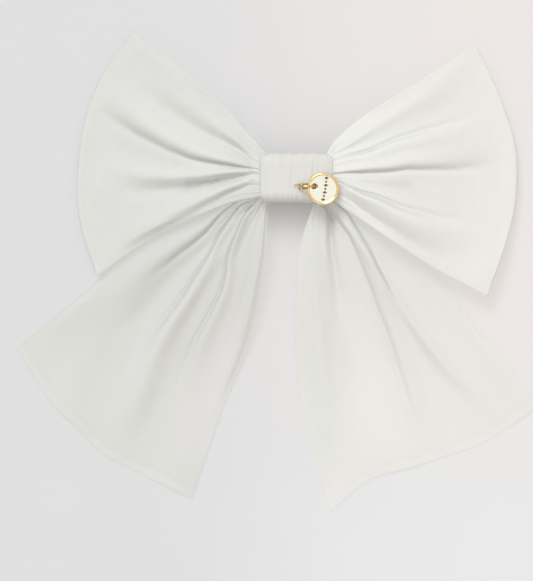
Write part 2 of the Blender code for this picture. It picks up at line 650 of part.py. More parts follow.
base_plate()
hinge_pin()
clasp_arm()
tension_bar()
prong("catch_prong_upper", 1)
prong("catch_prong_lower", -1)
tail_fold()
gathered_waist()
gather_thread()
lashing("plate_lashing_left", LASH_X[0])
lashing("plate_lashing_right", LASH_X[1])
centre_wrap()
charm_thread()
jump_ring()
charm_disc()
loop("left_loop", LEFT_LOOP_TOP, LEFT_LOOP_OUTER, LEFT_LOOP_BOTTOM, LEFT_LOOP_END_Z, 0.0)
loop("right_loop", RIGHT_LOOP_TOP, RIGHT_LOOP_OUTER, RIGHT_LOOP_BOTTOM, RIGHT_LOOP_END_Z, CORNER_LIFT)
tail("left_tail", LEFT_PIVOT, LEFT_TAIL_ROOT_DEG, LEFT_TAIL_UPPER, LEFT_TAIL_HEM, LEFT_TAIL_INNER)
tail("right_tail", RIGHT_PIVOT, RIGHT_TAIL_ROOT_DEG, RIGHT_TAIL_UPPER, RIGHT_TAIL_HEM, RIGHT_TAIL_INNER)
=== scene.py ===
import math

import bpy
import numpy as np
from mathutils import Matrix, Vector


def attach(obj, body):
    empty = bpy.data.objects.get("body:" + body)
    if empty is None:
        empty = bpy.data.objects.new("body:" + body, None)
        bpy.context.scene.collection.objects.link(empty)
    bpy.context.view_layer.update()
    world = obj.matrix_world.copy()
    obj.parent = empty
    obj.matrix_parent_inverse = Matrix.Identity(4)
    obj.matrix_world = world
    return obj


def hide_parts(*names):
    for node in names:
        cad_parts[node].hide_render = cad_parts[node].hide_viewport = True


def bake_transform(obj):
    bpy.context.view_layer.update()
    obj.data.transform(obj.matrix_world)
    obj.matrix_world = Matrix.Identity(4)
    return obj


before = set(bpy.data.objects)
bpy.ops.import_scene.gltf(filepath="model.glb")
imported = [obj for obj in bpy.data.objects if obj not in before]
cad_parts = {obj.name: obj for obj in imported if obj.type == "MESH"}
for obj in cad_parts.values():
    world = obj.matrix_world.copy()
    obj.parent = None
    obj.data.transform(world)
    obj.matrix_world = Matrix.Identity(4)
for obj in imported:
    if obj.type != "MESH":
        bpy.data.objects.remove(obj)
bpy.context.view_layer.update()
scene = bpy.context.scene
mm = 0.001
print("frame in,", len(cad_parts), "solid parts")


# shader groups that several finishes share

def newGroup(name, takes, gives):
    tree = bpy.data.node_groups.new(name, "ShaderNodeTree")
    for label, kind, value in takes:
        socket = tree.interface.new_socket(label, in_out="INPUT", socket_type=kind)
        if value is not None:
            socket.default_value = value
    for label, kind in gives:
        tree.interface.new_socket(label, in_out="OUTPUT", socket_type=kind)
    return tree, tree.nodes.new("NodeGroupInput"), tree.nodes.new("NodeGroupOutput")


def mathNode(tree, operation, first, second=None, clamp=False):
    node = tree.nodes.new("ShaderNodeMath")
    node.operation = operation
    node.use_clamp = clamp
    for socket, value in zip(node.inputs, (first, second)):
        if value is None:
            continue
        if isinstance(value, (int, float)):
            socket.default_value = value
        else:
            tree.links.new(value, socket)
    return node.outputs[0]


def weighted(tree, first, firstShare, second, secondShare):
    return mathNode(tree, "ADD", mathNode(tree, "MULTIPLY", first, firstShare),
        mathNode(tree, "MULTIPLY", second, secondShare))


def noiseNode(tree, vector, scale, detail=3.0, roughness=0.5):
    node = tree.nodes.new("ShaderNodeTexNoise")
    node.inputs["Detail"].default_value = detail
    node.inputs["Roughness"].default_value = roughness
    for socket, value in ((node.inputs["Scale"], scale), (node.inputs["Vector"], vector)):
        if isinstance(value, (int, float)):
            socket.default_value = value
        elif value is not None:
            tree.links.new(value, socket)
    return node.outputs["Fac"]


def rangeNode(tree, value, fromLow, fromHigh, toLow, toHigh, smooth=False):
    node = tree.nodes.new("ShaderNodeMapRange")
    node.interpolation_type = "SMOOTHSTEP" if smooth else "LINEAR"
    for socket, amount in zip(node.inputs[:5], (value, fromLow, fromHigh, toLow, toHigh)):
        if isinstance(amount, (int, float)):
            socket.default_value = amount
        else:
            tree.links.new(amount, socket)
    return node.outputs[0]


def mixColour(tree, share, first, second):
    node = tree.nodes.new("ShaderNodeMix")
    node.data_type = "RGBA"
    if isinstance(share, (int, float)):
        node.inputs[0].default_value = share
    else:
        tree.links.new(share, node.inputs[0])
    for socket, value in ((node.inputs[6], first), (node.inputs[7], second)):
        if isinstance(value, tuple):
            socket.default_value = (*value, 1.0)
        else:
            tree.links.new(value, socket)
    return node.outputs[2]


# the net: close ribs along one thread direction, small mesh cells, and cloudy thick and thin places
def buildNetGroup():
    tree, inward, outward = newGroup("bow net weave", (
        ("Place", "NodeSocketVector", None), ("Rib Gap", "NodeSocketFloat", 0.8),
        ("Cell", "NodeSocketFloat", 0.55),
        ("Cloud Scale", "NodeSocketFloat", 0.09),
    ), (("Ribs", "NodeSocketFloat"), ("Cells", "NodeSocketFloat"), ("Cloud", "NodeSocketFloat"),
    ("Relief", "NodeSocketFloat")))
    take = inward.outputs
    split = tree.nodes.new("ShaderNodeSeparateXYZ")
    tree.links.new(take["Place"], split.inputs[0])
    along, across = split.outputs[0], split.outputs[1]
    drift = noiseNode(tree, take["Place"], 0.35, 2.0)
    turn = mathNode(tree, "DIVIDE", mathNode(tree, "MULTIPLY", along, 2 * math.pi), take["Rib Gap"])
    turn = mathNode(tree, "ADD", turn, mathNode(tree, "MULTIPLY", drift, 5.0))
    ribs = rangeNode(tree, mathNode(tree, "SINE", turn), -1.0, 1.0, 0.0, 1.0)
    strength = rangeNode(tree, noiseNode(tree, take["Place"], 0.11, 2.0), 0.35, 0.65, 0.35, 1.0)
    ribs = mathNode(tree, "MULTIPLY", ribs, strength)
    cellTurn = []
    for sign in (1.0, -1.0):
        slant = mathNode(tree, "ADD", along, mathNode(tree, "MULTIPLY", across, 0.577 * sign))
        slant = mathNode(tree, "DIVIDE", mathNode(tree, "MULTIPLY", slant, 2 * math.pi), take["Cell"])
        cellTurn.append(mathNode(tree, "SINE", slant))
    cells = rangeNode(tree, mathNode(tree, "MULTIPLY", *cellTurn), -1.0, 1.0, 0.0, 1.0)
    cloud = noiseNode(tree, take["Place"], take["Cloud Scale"], 5.0, 0.6)
    relief = weighted(tree, ribs, 0.6, cells, 0.4)
    for label, value in (("Ribs", ribs), ("Cells", cells), ("Cloud", cloud), ("Relief", relief)):
        tree.links.new(value, outward.inputs[label])
    return tree


# rolled and handled metal: long fine brush lines, a few scratches and duller patches
def buildMetalGroup():
    tree, inward, outward = newGroup("bow metal wear", (
        ("Place", "NodeSocketVector", None), ("Brush", "NodeSocketFloat", 1.0),
        ("Patch Scale", "NodeSocketFloat", 90.0),
    ), (("Lines", "NodeSocketFloat"), ("Patches", "NodeSocketFloat"), ("Scratches", "NodeSocketFloat")))
    take = inward.outputs
    stretch = tree.nodes.new("ShaderNodeMapping")
    stretch.inputs["Scale"].default_value = (60.0, 2600.0, 1500.0)
    tree.links.new(take["Place"], stretch.inputs["Vector"])
    lines = rangeNode(tree, noiseNode(tree, stretch.outputs[0], take["Brush"], 2.0), 0.3, 0.7, 0.0, 1.0)
    patches = rangeNode(tree, noiseNode(tree, take["Place"], take["Patch Scale"], 5.0, 0.6), 0.35, 0.7,
        0.0, 1.0, True)
    cross = tree.nodes.new("ShaderNodeMapping")
    cross.inputs["Rotation"].default_value = (0.0, 0.0, 0.7)
    cross.inputs["Scale"].default_value = (110.0, 1500.0, 400.0)
    tree.links.new(take["Place"], cross.inputs["Vector"])
    scratches = rangeNode(tree, noiseNode(tree, cross.outputs[0], 1.0, 1.0), 0.68, 0.74, 0.0, 1.0)
    for label, value in (("Lines", lines), ("Patches", patches), ("Scratches", scratches)):
        tree.links.new(value, outward.inputs[label])
    return tree


netGroup = buildNetGroup()
metalGroup = buildMetalGroup()


def placeGroup(tree, group, place, **values):
    node = tree.nodes.new("ShaderNodeGroup")
    node.node_tree = group
    tree.links.new(place, node.inputs["Place"])
    for label, value in values.items():
        node.inputs[label.replace("_", " ")].default_value = value
    return node.outputs


def newMaterial(name, **plain):
    material = bpy.data.materials.new(name)
    material.use_nodes = True
    tree = material.node_tree
    shader = tree.nodes["Principled BSDF"]
    for label, value in plain.items():
        shader.inputs[label.replace("_", " ")].default_value = value
    return material, tree, shader


def attributeNode(tree, name, output):
    node = tree.nodes.new("ShaderNodeAttribute")
    node.attribute_name = name
    return node.outputs[output]


def bumpInto(tree, shader, height, strength, distance):
    bump = tree.nodes.new("ShaderNodeBump")
    bump.inputs["Strength"].default_value = strength
    bump.inputs["Distance"].default_value = distance
    tree.links.new(height, bump.inputs["Height"])
    tree.links.new(bump.outputs[0], shader.inputs["Normal"])


tulleLook = {
    "dense": (0.682, 0.70, 0.68),     # where folds stack up
    "thin": (0.70, 0.706, 0.706),        # one clear layer
    # the dark colour below serves turned edges and hems, and painted shade along the bottoms of creases;
    # the net's ribs are tinted towards it too
    "edge": (0.54, 0.545, 0.51),       # turned edges, hems and the bottoms of creases
    "thinAlpha": 0.30,
    "denseAlpha": 0.97,
    "ribGap": 0.86,                   # millimetres
    "cell": 1.0,
    "ribDepth": 0.05,
    "cellDepth": 0.012,
    "fullAt": 1.0,                    # the density where it lets nothing through
    "ribTint": 0.10,
    "relief": 0.12,
    "cloud": 0.06,
    "shadeLeak": 0.75,                # the share of shadow and bounced light that passes the net
}


def tulleMaterial(name, look, **changes):
    look = {**look, **changes}
    material, tree, shader = newMaterial(
        name, Roughness=0.82, Sheen_Weight=0.25, Sheen_Roughness=0.45, Specular_IOR_Level=0.25)
    place = attributeNode(tree, "place", "Vector")
    density = attributeNode(tree, "weight", "Fac")
    # this attribute darkens turned edges and hems, and carries painted shade in the bottoms of creases
    edge = attributeNode(tree, "edge", "Fac")
    net = placeGroup(tree, netGroup, place, Rib_Gap=look["ribGap"], Cell=look["cell"])
    cloud = rangeNode(tree, net["Cloud"], 0.3, 0.7, -look["cloud"], look["cloud"])
    body = mathNode(tree, "ADD", density, cloud, clamp=True)
    colour = mixColour(tree, body, look["thin"], look["dense"])
    threads = rangeNode(tree, net["Ribs"], 0.0, 1.0, 0.0, look["ribTint"])
    colour = mixColour(tree, threads, colour, look["edge"])
    # mixes in the darker rims and the painted crease shade
    colour = mixColour(tree, edge, colour, look["edge"])
    tree.links.new(colour, shader.inputs["Base Color"])
    cover = rangeNode(tree, body, 0.0, look["fullAt"], look["thinAlpha"], look["denseAlpha"])
    weave = weighted(tree, net["Ribs"], look["ribDepth"], net["Cells"], look["cellDepth"])
    cover = mathNode(tree, "ADD", cover, mathNode(tree, "SUBTRACT", weave, 0.03))
    cover = mathNode(tree, "ADD", cover, mathNode(tree, "MULTIPLY", edge, 0.3), clamp=True)
    ray = tree.nodes.new("ShaderNodeLightPath").outputs
    shade = mathNode(tree, "MAXIMUM", ray["Is Shadow Ray"], ray["Is Diffuse Ray"])
    leak = rangeNode(tree, shade, 0.0, 1.0, 1.0, 1.0 - look["shadeLeak"])
    tree.links.new(mathNode(tree, "MULTIPLY", cover, leak), shader.inputs["Alpha"])
    tree.links.new(rangeNode(tree, net["Cells"], 0.0, 1.0, 0.76, 0.9), shader.inputs["Roughness"])
    bumpInto(tree, shader, net["Relief"], look["relief"], 0.00005)
    return material


tulle = tulleMaterial("ivory tulle", tulleLook)
tailTulleLook = {
    **tulleLook,
    "thinAlpha": 0.40,
    "ribGap": 1.35,
    "cell": 1.15,
    "ribDepth": 0.0,
    "cellDepth": 0.0,
    "ribTint": 0.03,
    "relief": 0.04,
    "cloud": 0.03,
}
# the tails share one net, painted darker on the left tail, which slopes towards the light, and lighter on
# the right tail
leftTailShadedTulle = tulleMaterial("ivory tulle, left tail, painted darker", tailTulleLook, dense=(0.635, 0.648, 0.635),
    thin=(0.80, 0.775, 0.765))
rightTailLitTulle = tulleMaterial("ivory tulle, right tail, painted lighter", tailTulleLook, dense=(0.705, 0.714, 0.70),
    thin=(0.88, 0.845, 0.83))
wrapTulle = tulleMaterial("gathered tulle", tulleLook, dense=(0.685, 0.69, 0.67), thin=(0.685, 0.69, 0.67),
                          thinAlpha=0.9, denseAlpha=1.0, ribDepth=0.01, cellDepth=0.01, ribTint=0.03,
                          relief=0.05, cloud=0.05)
# the right loop's cloth is painted lighter than the left loop's, for the stronger light on the right
rightLoopLitTulle = tulleMaterial("ivory tulle, right loop, painted lighter", tulleLook, dense=(0.765, 0.775, 0.758),
    thin=(0.815, 0.80, 0.795))
packedTulle = tulleMaterial("packed tulle", tulleLook, thinAlpha=0.9, denseAlpha=1.0)


# a smooth line through drawn points, and the distance run along it

def along(points, t):
    points, t = np.array(points, float), np.asarray(t, float)
    steps = np.diff(points, axis=0)
    lengths = np.hypot(steps[:, 0], steps[:, 1])
    ends = np.concatenate(([0.0], np.cumsum(lengths)))
    target = np.clip(t, 0, 1) * ends[-1]
    i = np.clip(np.searchsorted(ends, target, side="right") - 1, 0, len(lengths) - 1)
    u = np.clip((target - ends[i]) / lengths[i], 0, 1)[..., None]
    a, b = points[i], points[i + 1]
    before = np.where((i > 0)[..., None], points[np.maximum(i - 1, 0)], a - (b - a))
    after = np.where((i + 2 < len(points))[..., None], points[np.minimum(i + 2, len(points) - 1)],
        b + (b - a))
    own = lengths[i][..., None]
    first = (b - before) * own / (own + np.linalg.norm(a - before, axis=-1, keepdims=True))
    last = (after - a) * own / (own + np.linalg.norm(after - b, axis=-1, keepdims=True))
    return (a * (2 * u**3 - 3 * u**2 + 1) + first * (u**3 - 2 * u**2 + u)
            + b * (-2 * u**3 + 3 * u**2) + last * (u**3 - u**2))


# a point inside four edges: s runs from root to end, v from the low side to the high side
def patch(edges, s, v):
    root, end, low, high = edges
    s3, v3 = s[..., None], v[..., None]
    corner = [np.array(p, float) for p in (root[0], root[-1], end[0], end[-1])]
    flat = along(root, v) * (1 - s3) + along(end, v) * s3 + along(low, s) * (1 - v3) + along(high, s) * v3
    return flat - (corner[0] * (1 - s3) * (1 - v3) + corner[1] * (1 - s3) * v3
                   + corner[2] * s3 * (1 - v3) + corner[3] * s3 * v3)


def widthAt(edges, s):
    return np.linalg.norm(patch(edges, s, np.ones_like(s)) - patch(edges, s, np.zeros_like(s)), axis=-1)


def ease(t):
    t = np.clip(t, 0, 1)
    return t * t * (3 - 2 * t)


def bell(distance, width):
    return np.exp(-((distance / width) ** 2))


# where a drawn fold line runs in the patch's own (s, v), so that it follows the cloth
def onPatch(edges, path):
    grid = np.meshgrid(np.linspace(0, 1, 181), np.linspace(0, 1, 181), indexing="ij")
    spots = patch(edges, *grid)
    found = []
    for point in along(path, np.linspace(0, 1, 16)):
        nearest = np.argmin(((spots - point) ** 2).sum(-1))
        found.append((grid[0].flat[nearest], grid[1].flat[nearest]))
    found.sort()
    return np.array(found)


def lineAt(spots, s):
    return np.interp(s, spots[:, 0], spots[:, 1])


# folds: kind is ridge, valley, tuckHigh (lip on the high side of the line) or tuckLow; a fold's line value
# paints shade into the bottom of its crease
def foldShape(edges, folds, s, v, width):
    rise, shift, extra, line = (np.zeros_like(s) for _ in range(4))
    for drawn in folds:
        spots = onPatch(edges, drawn["path"])
        first, last = spots[0, 0], spots[-1, 0]
        share = np.clip((s - first) / max(last - first, 1e-6), 0, 1)
        fade = 1 - ease((s - last + 0.3 * (last - first)) / (0.45 * (last - first)))
        tall = (drawn["height"][0] + (drawn["height"][1] - drawn["height"][0]) * share) * fade
        wide = drawn["width"][0] + (drawn["width"][1] - drawn["width"][0]) * share
        off = (v - lineAt(spots, s)) * width
        if drawn["kind"] == "ridge":
            rise += tall * bell(off, wide)
        elif drawn["kind"] == "valley":
            rise -= tall * bell(off, wide)
        else:
            side = 1 if drawn["kind"] == "tuckHigh" else -1
            lip = tall * bell(side * off - 1.1 * wide, 1.25 * wide)
            rise += lip - 0.5 * tall * bell(side * off + 0.25 * wide, 0.45 * wide)
            shift -= side * drawn.get("lean", 0.0) * lip
        extra += drawn.get("dense", 0.0) * fade * bell(off, 1.3 * wide)
        # the line value is painted shade darkening the bottom of a crease, strongest near the knot; it is
        # returned as line
        if drawn["kind"] != "ridge":
            deep = 0.75 * drawn.get("line", 0.0) * fade * (1 - ease((share - 0.15) / 0.7))
            if drawn.get("opens"):                  # a crease that starts part way along
                deep = deep * ease((s - first + 0.02) / 0.04)
            line = np.maximum(line, deep * bell(off, 0.30 + 0.22 * wide))
    return rise, 0.5 * shift, extra, line


# bands: places where the cloth is doubled or single, as (path, (near width, far width), amount)
def bandShape(edges, bands, s, v, width):
    extra = np.zeros_like(s)
    for path, wide, amount, _ in bands:
        spots = onPatch(edges, path)
        first, last = spots[0, 0], spots[-1, 0]
        span = max(last - first, 1e-6)
        share = np.clip((s - first) / span, 0, 1)
        ends = ease((s - first) / (0.45 * span) + 0.5) * (1 - ease((s - last) / (0.45 * span) + 0.5))
        off = (v - lineAt(spots, s)) * width / (wide[0] + (wide[1] - wide[0]) * share)
        extra += amount * ends * bell(off, 1.15)
    return extra


# how near a point is to the far end or to either side of the cloth
def rimShape(fromEnd, endWidth, v, width):
    sides = np.maximum(bell(v * width, 0.45), bell((1 - v) * width, 0.45))
    return np.maximum(bell(fromEnd, endWidth), sides)


def gathers(v, seed, counts):
    rng = np.random.default_rng(seed)
    total = np.zeros_like(v)
    for count in counts:
        strength = rng.uniform(0.6, 1.0)
        drift = 0.03 * np.sin(5 * v + rng.uniform(0, 6))
        total += strength * np.sin(2 * math.pi * (count * (v + drift) + rng.random())) / len(counts)
    return total


def gridPiece(name, points, place, density, edge, material, roundAcross=False, roundAlong=False):
    rows, columns = points.shape[:2]
    index = np.arange(rows * columns).reshape(rows, columns)
    if roundAcross:
        index = np.concatenate((index, index[:, :1]), axis=1)
    if roundAlong:
        index = np.concatenate((index, index[:1]), axis=0)
    corners = (index[:-1, :-1], index[1:, :-1], index[1:, 1:], index[:-1, 1:])
    quads = np.stack(corners, axis=-1).reshape(-1, 4)
    mesh = bpy.data.meshes.new(name)
    mesh.from_pydata((points.reshape(-1, 3) * mm).tolist(), [], quads.tolist())
    mesh.polygons.foreach_set("use_smooth", np.ones(len(quads), bool))
    for label, values, kind in (("weight", density, "FLOAT"), ("edge", edge, "FLOAT"),
            ("place", place, "FLOAT_VECTOR")):
        layer = mesh.attributes.new(label, kind, "POINT")
        layer.data.foreach_set("vector" if kind == "FLOAT_VECTOR" else "value",
            np.asarray(values, np.float32).ravel())
    mesh.materials.append(material)
    obj = bpy.data.objects.new(name, mesh)
    scene.collection.objects.link(obj)
    return obj


def spaced(count, low, high, crowd=0.0):
    t = np.linspace(0, 1, count)
    return low + (high - low) * (t - crowd * np.sin(2 * math.pi * t) / (2 * math.pi))


# loops: one strip each, out from the wrap over the front, round the outer fold and back behind

loopLook = {
    "rows": 100,
    "columns": 240,
    "clothRun": 64.0,         # from the knot to the outer fold
    "tuckShare": 0.075,       # how much of that run goes on under the wrap
    "coreHeight": 15.9,       # middle of the pinched cloth inside the wrap
    "bendsFrom": 14.0,        # the cloth bends between these distances from the knot's middle
    "bendsTo": 25.0,
    # half the gap between front and back cloth, at the knot, the middle and the fold
    "rootHalf": 3.0,
    "midHalf": 4.0,
    "foldHalf": 1.2,
    "edgeShare": 0.34,
    "fineGather": 0.15,
    "wideGather": 0.24,
    "weightWave": 0.4,
    "foldGain": 0.95,
}


# heights and widths are (at the knot, at the far end), in millimetres
# line= sets how much painted shade darkens the bottom of the crease
def fold(kind, path, height, width, **more):
    return {"kind": kind, "path": path, "height": height, "width": width, **more}


# bands: path, (near width, far width), change in density, and whether the back cloth has it too
leftLoop = {
    "side": -1,
    "seed": 11,
    "top": ((-13.6, 12.4), (-27.0, 26.6), (-42.0, 40.2), (-59.5, 52.9)),
    "outer": ((-72.3, -35.0), (-77.6, -18.0), (-79.1, -2.2), (-76.3, 20.8), (-69.5, 38.5), (-59.5, 52.9)),
    "bottom": ((-13.6, -7.0), (-20.0, -8.2), (-27.0, -10.2), (-54.0, -22.4), (-72.3, -35.0)),
    "inner": ((-9.5, -6.6), (-9.5, 6.4)),
    "endHeight": 4.2,
    "cornerLift": 0.0,
    "folds": (
        fold("valley", ((-16.1, 5.8), (-20.8, 9.9), (-34.3, 16.8), (-47.8, 25.2), (-56.9, 29.9)),
            (1.5, 1.1), (0.9, 3.6), line=0.25),
        fold("ridge", ((-15.5, 8.0), (-24.0, 15.4), (-38.0, 26.0), (-52.0, 36.0)), (1.2, 1.0), (1.2, 5.0)),
        fold("tuckHigh", ((-14.6, 3.3), (-20.4, 4.0), (-27.0, 5.1), (-37.6, 7.3), (-51.1, 13.5),
        (-62.0, 19.7), (-70.3, 25.5)),
            (2.3, 3.0), (1.0, 5.2), lean=0.5, dense=0.1, line=0.55),
        fold("ridge", ((-15.5, 2.4), (-27.0, 1.4), (-40.0, 0.3), (-55.0, 1.2), (-68.0, 3.4)),
            (1.5, 1.6), (0.9, 3.8), dense=0.2),
        fold("valley", ((-15.3, 1.0), (-20.4, 0.0), (-25.6, -1.1), (-33.2, -2.6), (-40.5, -3.8),
        (-53.3, -4.8), (-62.0, -4.8)),
            (2.4, 1.9), (0.8, 3.2), line=0.2),
        fold("ridge", ((-16.1, -0.6), (-25.9, -4.4), (-37.6, -9.9), (-48.0, -15.5), (-63.6, -23.5)),
            (2.0, 2.2), (1.2, 5.6), dense=0.12),
        # a short valley whose line is painted shade, darkening a wedge beside the clip
        fold("valley", ((-26.0, -0.7), (-31.0, -1.3), (-36.0, -1.9), (-45.0, -3.0)),
            (0.5, 0.4), (0.6, 1.6), line=1.0, opens=True),
        fold("valley", ((-17.0, -2.8), (-27.0, -6.9), (-40.0, -13.5), (-50.0, -19.0)),
            (0.8, 0.3), (0.6, 2.0), line=0.2),
    ),
    "bands": (
        # single cloth along the top
        (((-27.0, 24.6), (-42.0, 36.4), (-62.0, 47.6), (-68.0, 50.0)), (3.2, 9.5), -0.46, False),
        # clear slot over the clip
        (((-26.0, -0.9), (-34.0, -2.0), (-42.0, -3.2)), (0.7, 1.7), -1.05, True),
        (((-40.0, 8.6), (-52.0, 11.5), (-64.0, 16.0)), (2.0, 4.6), -0.16, False),
        (((-46.0, -4.6), (-62.0, -5.4), (-72.0, -6.0)), (2.6, 5.0), -0.16, False),
        (((-18.0, 6.6), (-36.0, 11.9), (-58.0, 23.0)), (1.4, 5.0), 0.22, False),
    ),
}

rightLoop = {
    "side": 1,
    "seed": 23,
    "top": ((13.6, 13.4), (21.9, 20.6), (40.9, 32.9), (65.0, 48.5)),
    "outer": ((69.0, -42.3), (75.9, -22.6), (79.2, -7.7), (79.1, 11.3), (73.4, 30.3), (65.0, 48.5)),
    "bottom": ((13.6, -8.6), (21.9, -14.4), (46.2, -30.3), (69.0, -42.3)),
    "inner": ((9.5, -6.2), (9.5, 6.4)),
    "endHeight": 5.4,
    "cornerLift": 3.0,
    "folds": (
        fold("tuckLow", ((15.5, 6.6), (17.9, 7.3), (25.6, 9.1), (35.4, 13.1), (43.8, 15.7), (51.8, 17.9),
        (60.6, 20.1)),
            (1.9, 1.7), (1.0, 3.2), lean=0.5, dense=0.12, line=0.4),
        fold("tuckHigh", ((14.6, 1.8), (25.6, 2.2), (32.9, 2.6), (40.1, 3.6), (55.8, 4.0), (69.2, 5.5)),
            (2.3, 2.0), (0.9, 4.0), lean=0.5, dense=0.1, line=0.55),
        fold("tuckLow", ((16.0, -2.4), (17.9, -3.3), (22.6, -5.5), (30.7, -8.4), (38.0, -11.7),
        (47.4, -14.6), (60.0, -17.6)),
            (2.3, 2.6), (0.9, 4.8), lean=0.6, dense=0.1, line=0.5),
        fold("valley", ((16.0, -6.4), (26.0, -13.0), (40.0, -22.0), (52.0, -29.0)),
            (0.7, 0.4), (0.6, 2.4), line=0.2),
        fold("ridge", ((15.5, 10.0), (24.0, 15.6), (40.0, 25.5), (58.0, 36.0)), (1.3, 1.0), (1.0, 5.0)),
    ),
    "bands": (
        (((22.0, 19.0), (40.0, 31.0), (62.0, 45.0)), (2.0, 4.4), -0.34, False),
        # the clip shows a little
        (((22.0, -0.9), (30.0, -1.8), (41.0, -2.4)), (0.8, 1.8), -0.34, True),
        (((44.0, 9.5), (60.0, 10.0), (73.0, 10.0)), (4.0, 9.0), -0.12, False),
        (((46.0, -6.0), (60.0, -9.0), (72.0, -12.0)), (4.0, 9.0), -0.20, False),
        (((20.0, 12.0), (40.0, 21.0), (60.0, 30.0)), (2.0, 6.0), 0.10, False),
    ),
}


def loopMid(loop, x, y):
    reach = max(abs(p[0]) for p in loop["outer"])
    core, knotEnd = loopLook["coreHeight"], 16.4
    level = core + (loop["endHeight"] - core) * ease((np.abs(x) - knotEnd) / (reach - knotEnd))
    return level + loop["cornerLift"] * ease((np.abs(x) - 40.0) / 30.0) * ease((-8.0 - y) / 30.0)


def makeLoop(name, loop, look):
    side = loop["side"]
    edges = ((loop["bottom"][0], loop["top"][0]), loop["outer"], loop["bottom"], loop["top"])
    v = spaced(look["columns"], 0, 1)
    under = look["tuckShare"]
    s = np.concatenate((np.linspace(-under, 0, 9)[:-1], np.linspace(0, 1, look["rows"]) ** 1.25))
    s, v = (grid.copy() for grid in np.meshgrid(s, v, indexing="ij"))
    inside = np.clip(s, 0, 1)
    width = widthAt(edges, inside)
    length = look["clothRun"]

    def spread(shift):
        flat = patch(edges, inside, np.clip(v + shift / width, 0, 1))
        tuck = ease(-s / under)[..., None]      # the last bit draws in under the wrap
        return flat * (1 - tuck) + along(loop["inner"], v) * tuck

    # line comes back as painted shade for the crease bottoms
    rise, shift, extra, line = foldShape(edges, loop["folds"], inside, v, width)
    near = inside * length
    rise *= look["foldGain"] * (0.2 + 0.8 * ease(near / 11.0))
    fine = look["fineGather"] * np.exp(-near / 6.0) * gathers(v, loop["seed"], (13, 19, 27))
    wide = look["wideGather"] * np.exp(-near / 13.0) * gathers(v, loop["seed"] + 1, (5, 8, 11))
    wave = look["weightWave"] * np.sin(2.1 * math.pi * v + 3.0 * inside + loop["seed"]) * ease(inside * 1.6)
    wave += 0.25 * np.sin(5.3 * math.pi * v - 4.0 * inside) * ease(inside * 1.4)
    edgeFade = ease(v / 0.05) * ease((1 - v) / 0.05)
    half = look["rootHalf"] + (look["midHalf"] - look["rootHalf"]) * ease(inside / 0.22)
    half += (look["foldHalf"] - half) * ease((inside - 0.35) / 0.65)
    crown = look["edgeShare"] + (1 - look["edgeShare"]) * np.sin(math.pi * np.clip(v, 0, 1)) ** 0.6
    sheets = []
    for front in (1, -1):
        flat = spread(shift * edgeFade if front > 0 else np.zeros_like(shift))
        mid = loopMid(loop, flat[..., 0], flat[..., 1])
        foldCalm = 1 - ease((inside - 0.9) / 0.1)
        if front > 0:
            lift = (rise + wave) * edgeFade * foldCalm + fine + wide
        else:
            lift = -(1.3 * wide + fine + 0.5 * wave) * foldCalm
        height = half * crown + lift
        height = np.where(height < 0.25, 0.25 * np.exp((height - 0.25) / 2.0), height)
        squeeze = ease(-s / under)
        height = height * (1 - squeeze) + (1.75 + 0.3 * fine) * squeeze
        level = mid * (1 - squeeze) + look["coreHeight"] * squeeze
        edgeWobble = 0.35 * np.sin(9.0 * inside + front + loop["seed"]) * (1 - edgeFade) * ease(inside * 3)
        points = np.dstack((flat, level + front * height + edgeWobble))
        density = 0.64 + 0.36 * bell(near, 30.0) if front > 0 else 0.45 + 0.55 * bell(near, 32.0)
        bands = [band for band in loop["bands"] if front > 0 or band[3]]
        density += bandShape(edges, bands, inside, v, width)
        if front > 0:
            density += extra
        rim = rimShape((1 - inside) * length, 0.9, v, width)
        place = np.dstack((near * front + s * 0, v * 88.0, np.zeros_like(s)))
        # darker rims, plus painted crease shade on the front cloth
        rimAndCreaseShadeAmount = np.maximum(0.12 * rim, line) if front > 0 else 0.1 * rim
        sheets.append((points, place, density + 0.3 * rim, rimAndCreaseShadeAmount))
    # the outer fold is a half turn between the last front row and the last back row
    (frontPoints, frontPlace, frontDense, frontRimAndCreaseShade), (backPoints, backPlace, backDense, backRimAndCreaseShade) = sheets
    top, low = frontPoints[-1], backPoints[-1]
    centre, arm = (top + low) / 2, (top - low) / 2
    out = np.zeros_like(arm)
    out[:, 0] = side
    turn = []
    for angle in np.linspace(0, math.pi, 9)[1:-1]:
        reach = np.linalg.norm(arm, axis=1)[:, None]
        turn.append(centre + arm * math.cos(angle) + out * reach * 0.9 * math.sin(angle))
    turn = np.array(turn)

    def joined(first, middle, last):
        return np.concatenate((first, middle, last[::-1]))
    count = len(turn)
    points = joined(frontPoints, turn, backPoints)
    place = joined(frontPlace, np.repeat(frontPlace[-1:], count, 0), backPlace)
    density = joined(frontDense, np.repeat(frontDense[-1:], count, 0), backDense)
    # rim here carries the darker rims and the painted crease shade
    rim = joined(frontRimAndCreaseShade, np.repeat(frontRimAndCreaseShade[-1:], count, 0), backRimAndCreaseShade)
    if side > 0:
        points, place, density, rim = (a[:, ::-1] for a in (points, place, density, rim))
    return gridPiece(name, points, place, np.clip(density, 0, 1), rim, tulle if side < 0 else rightLoopLitTulle)


for name, loop, node in (("loopClothLeft", leftLoop, "left_loop"),
        ("loopClothRight", rightLoop, "right_loop")):
    piece = makeLoop(name, loop, loopLook)
    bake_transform(piece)
    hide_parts(node)
print("loops made")


# tails: one flat piece each, gathered where it leaves the knot

tailLook = {
    "rows": 130,
    "columns": 240,
    "clothRun": 108.0,        # from the knot to the hem
    "tuckShare": 0.06,
    "foldHeight": 10.9,       # height of the folded strip behind the knot
    "hemBand": 3.2,
    "fineGather": 0.12,
    "wideGather": 0.22,
    "foldGain": 0.95,
}


def arc(centre, radius, fromDeg, toDeg):
    angles = np.radians(np.linspace(fromDeg, toDeg, 8))
    return tuple((centre[0] + radius * math.cos(a), centre[1] + radius * math.sin(a)) for a in angles)


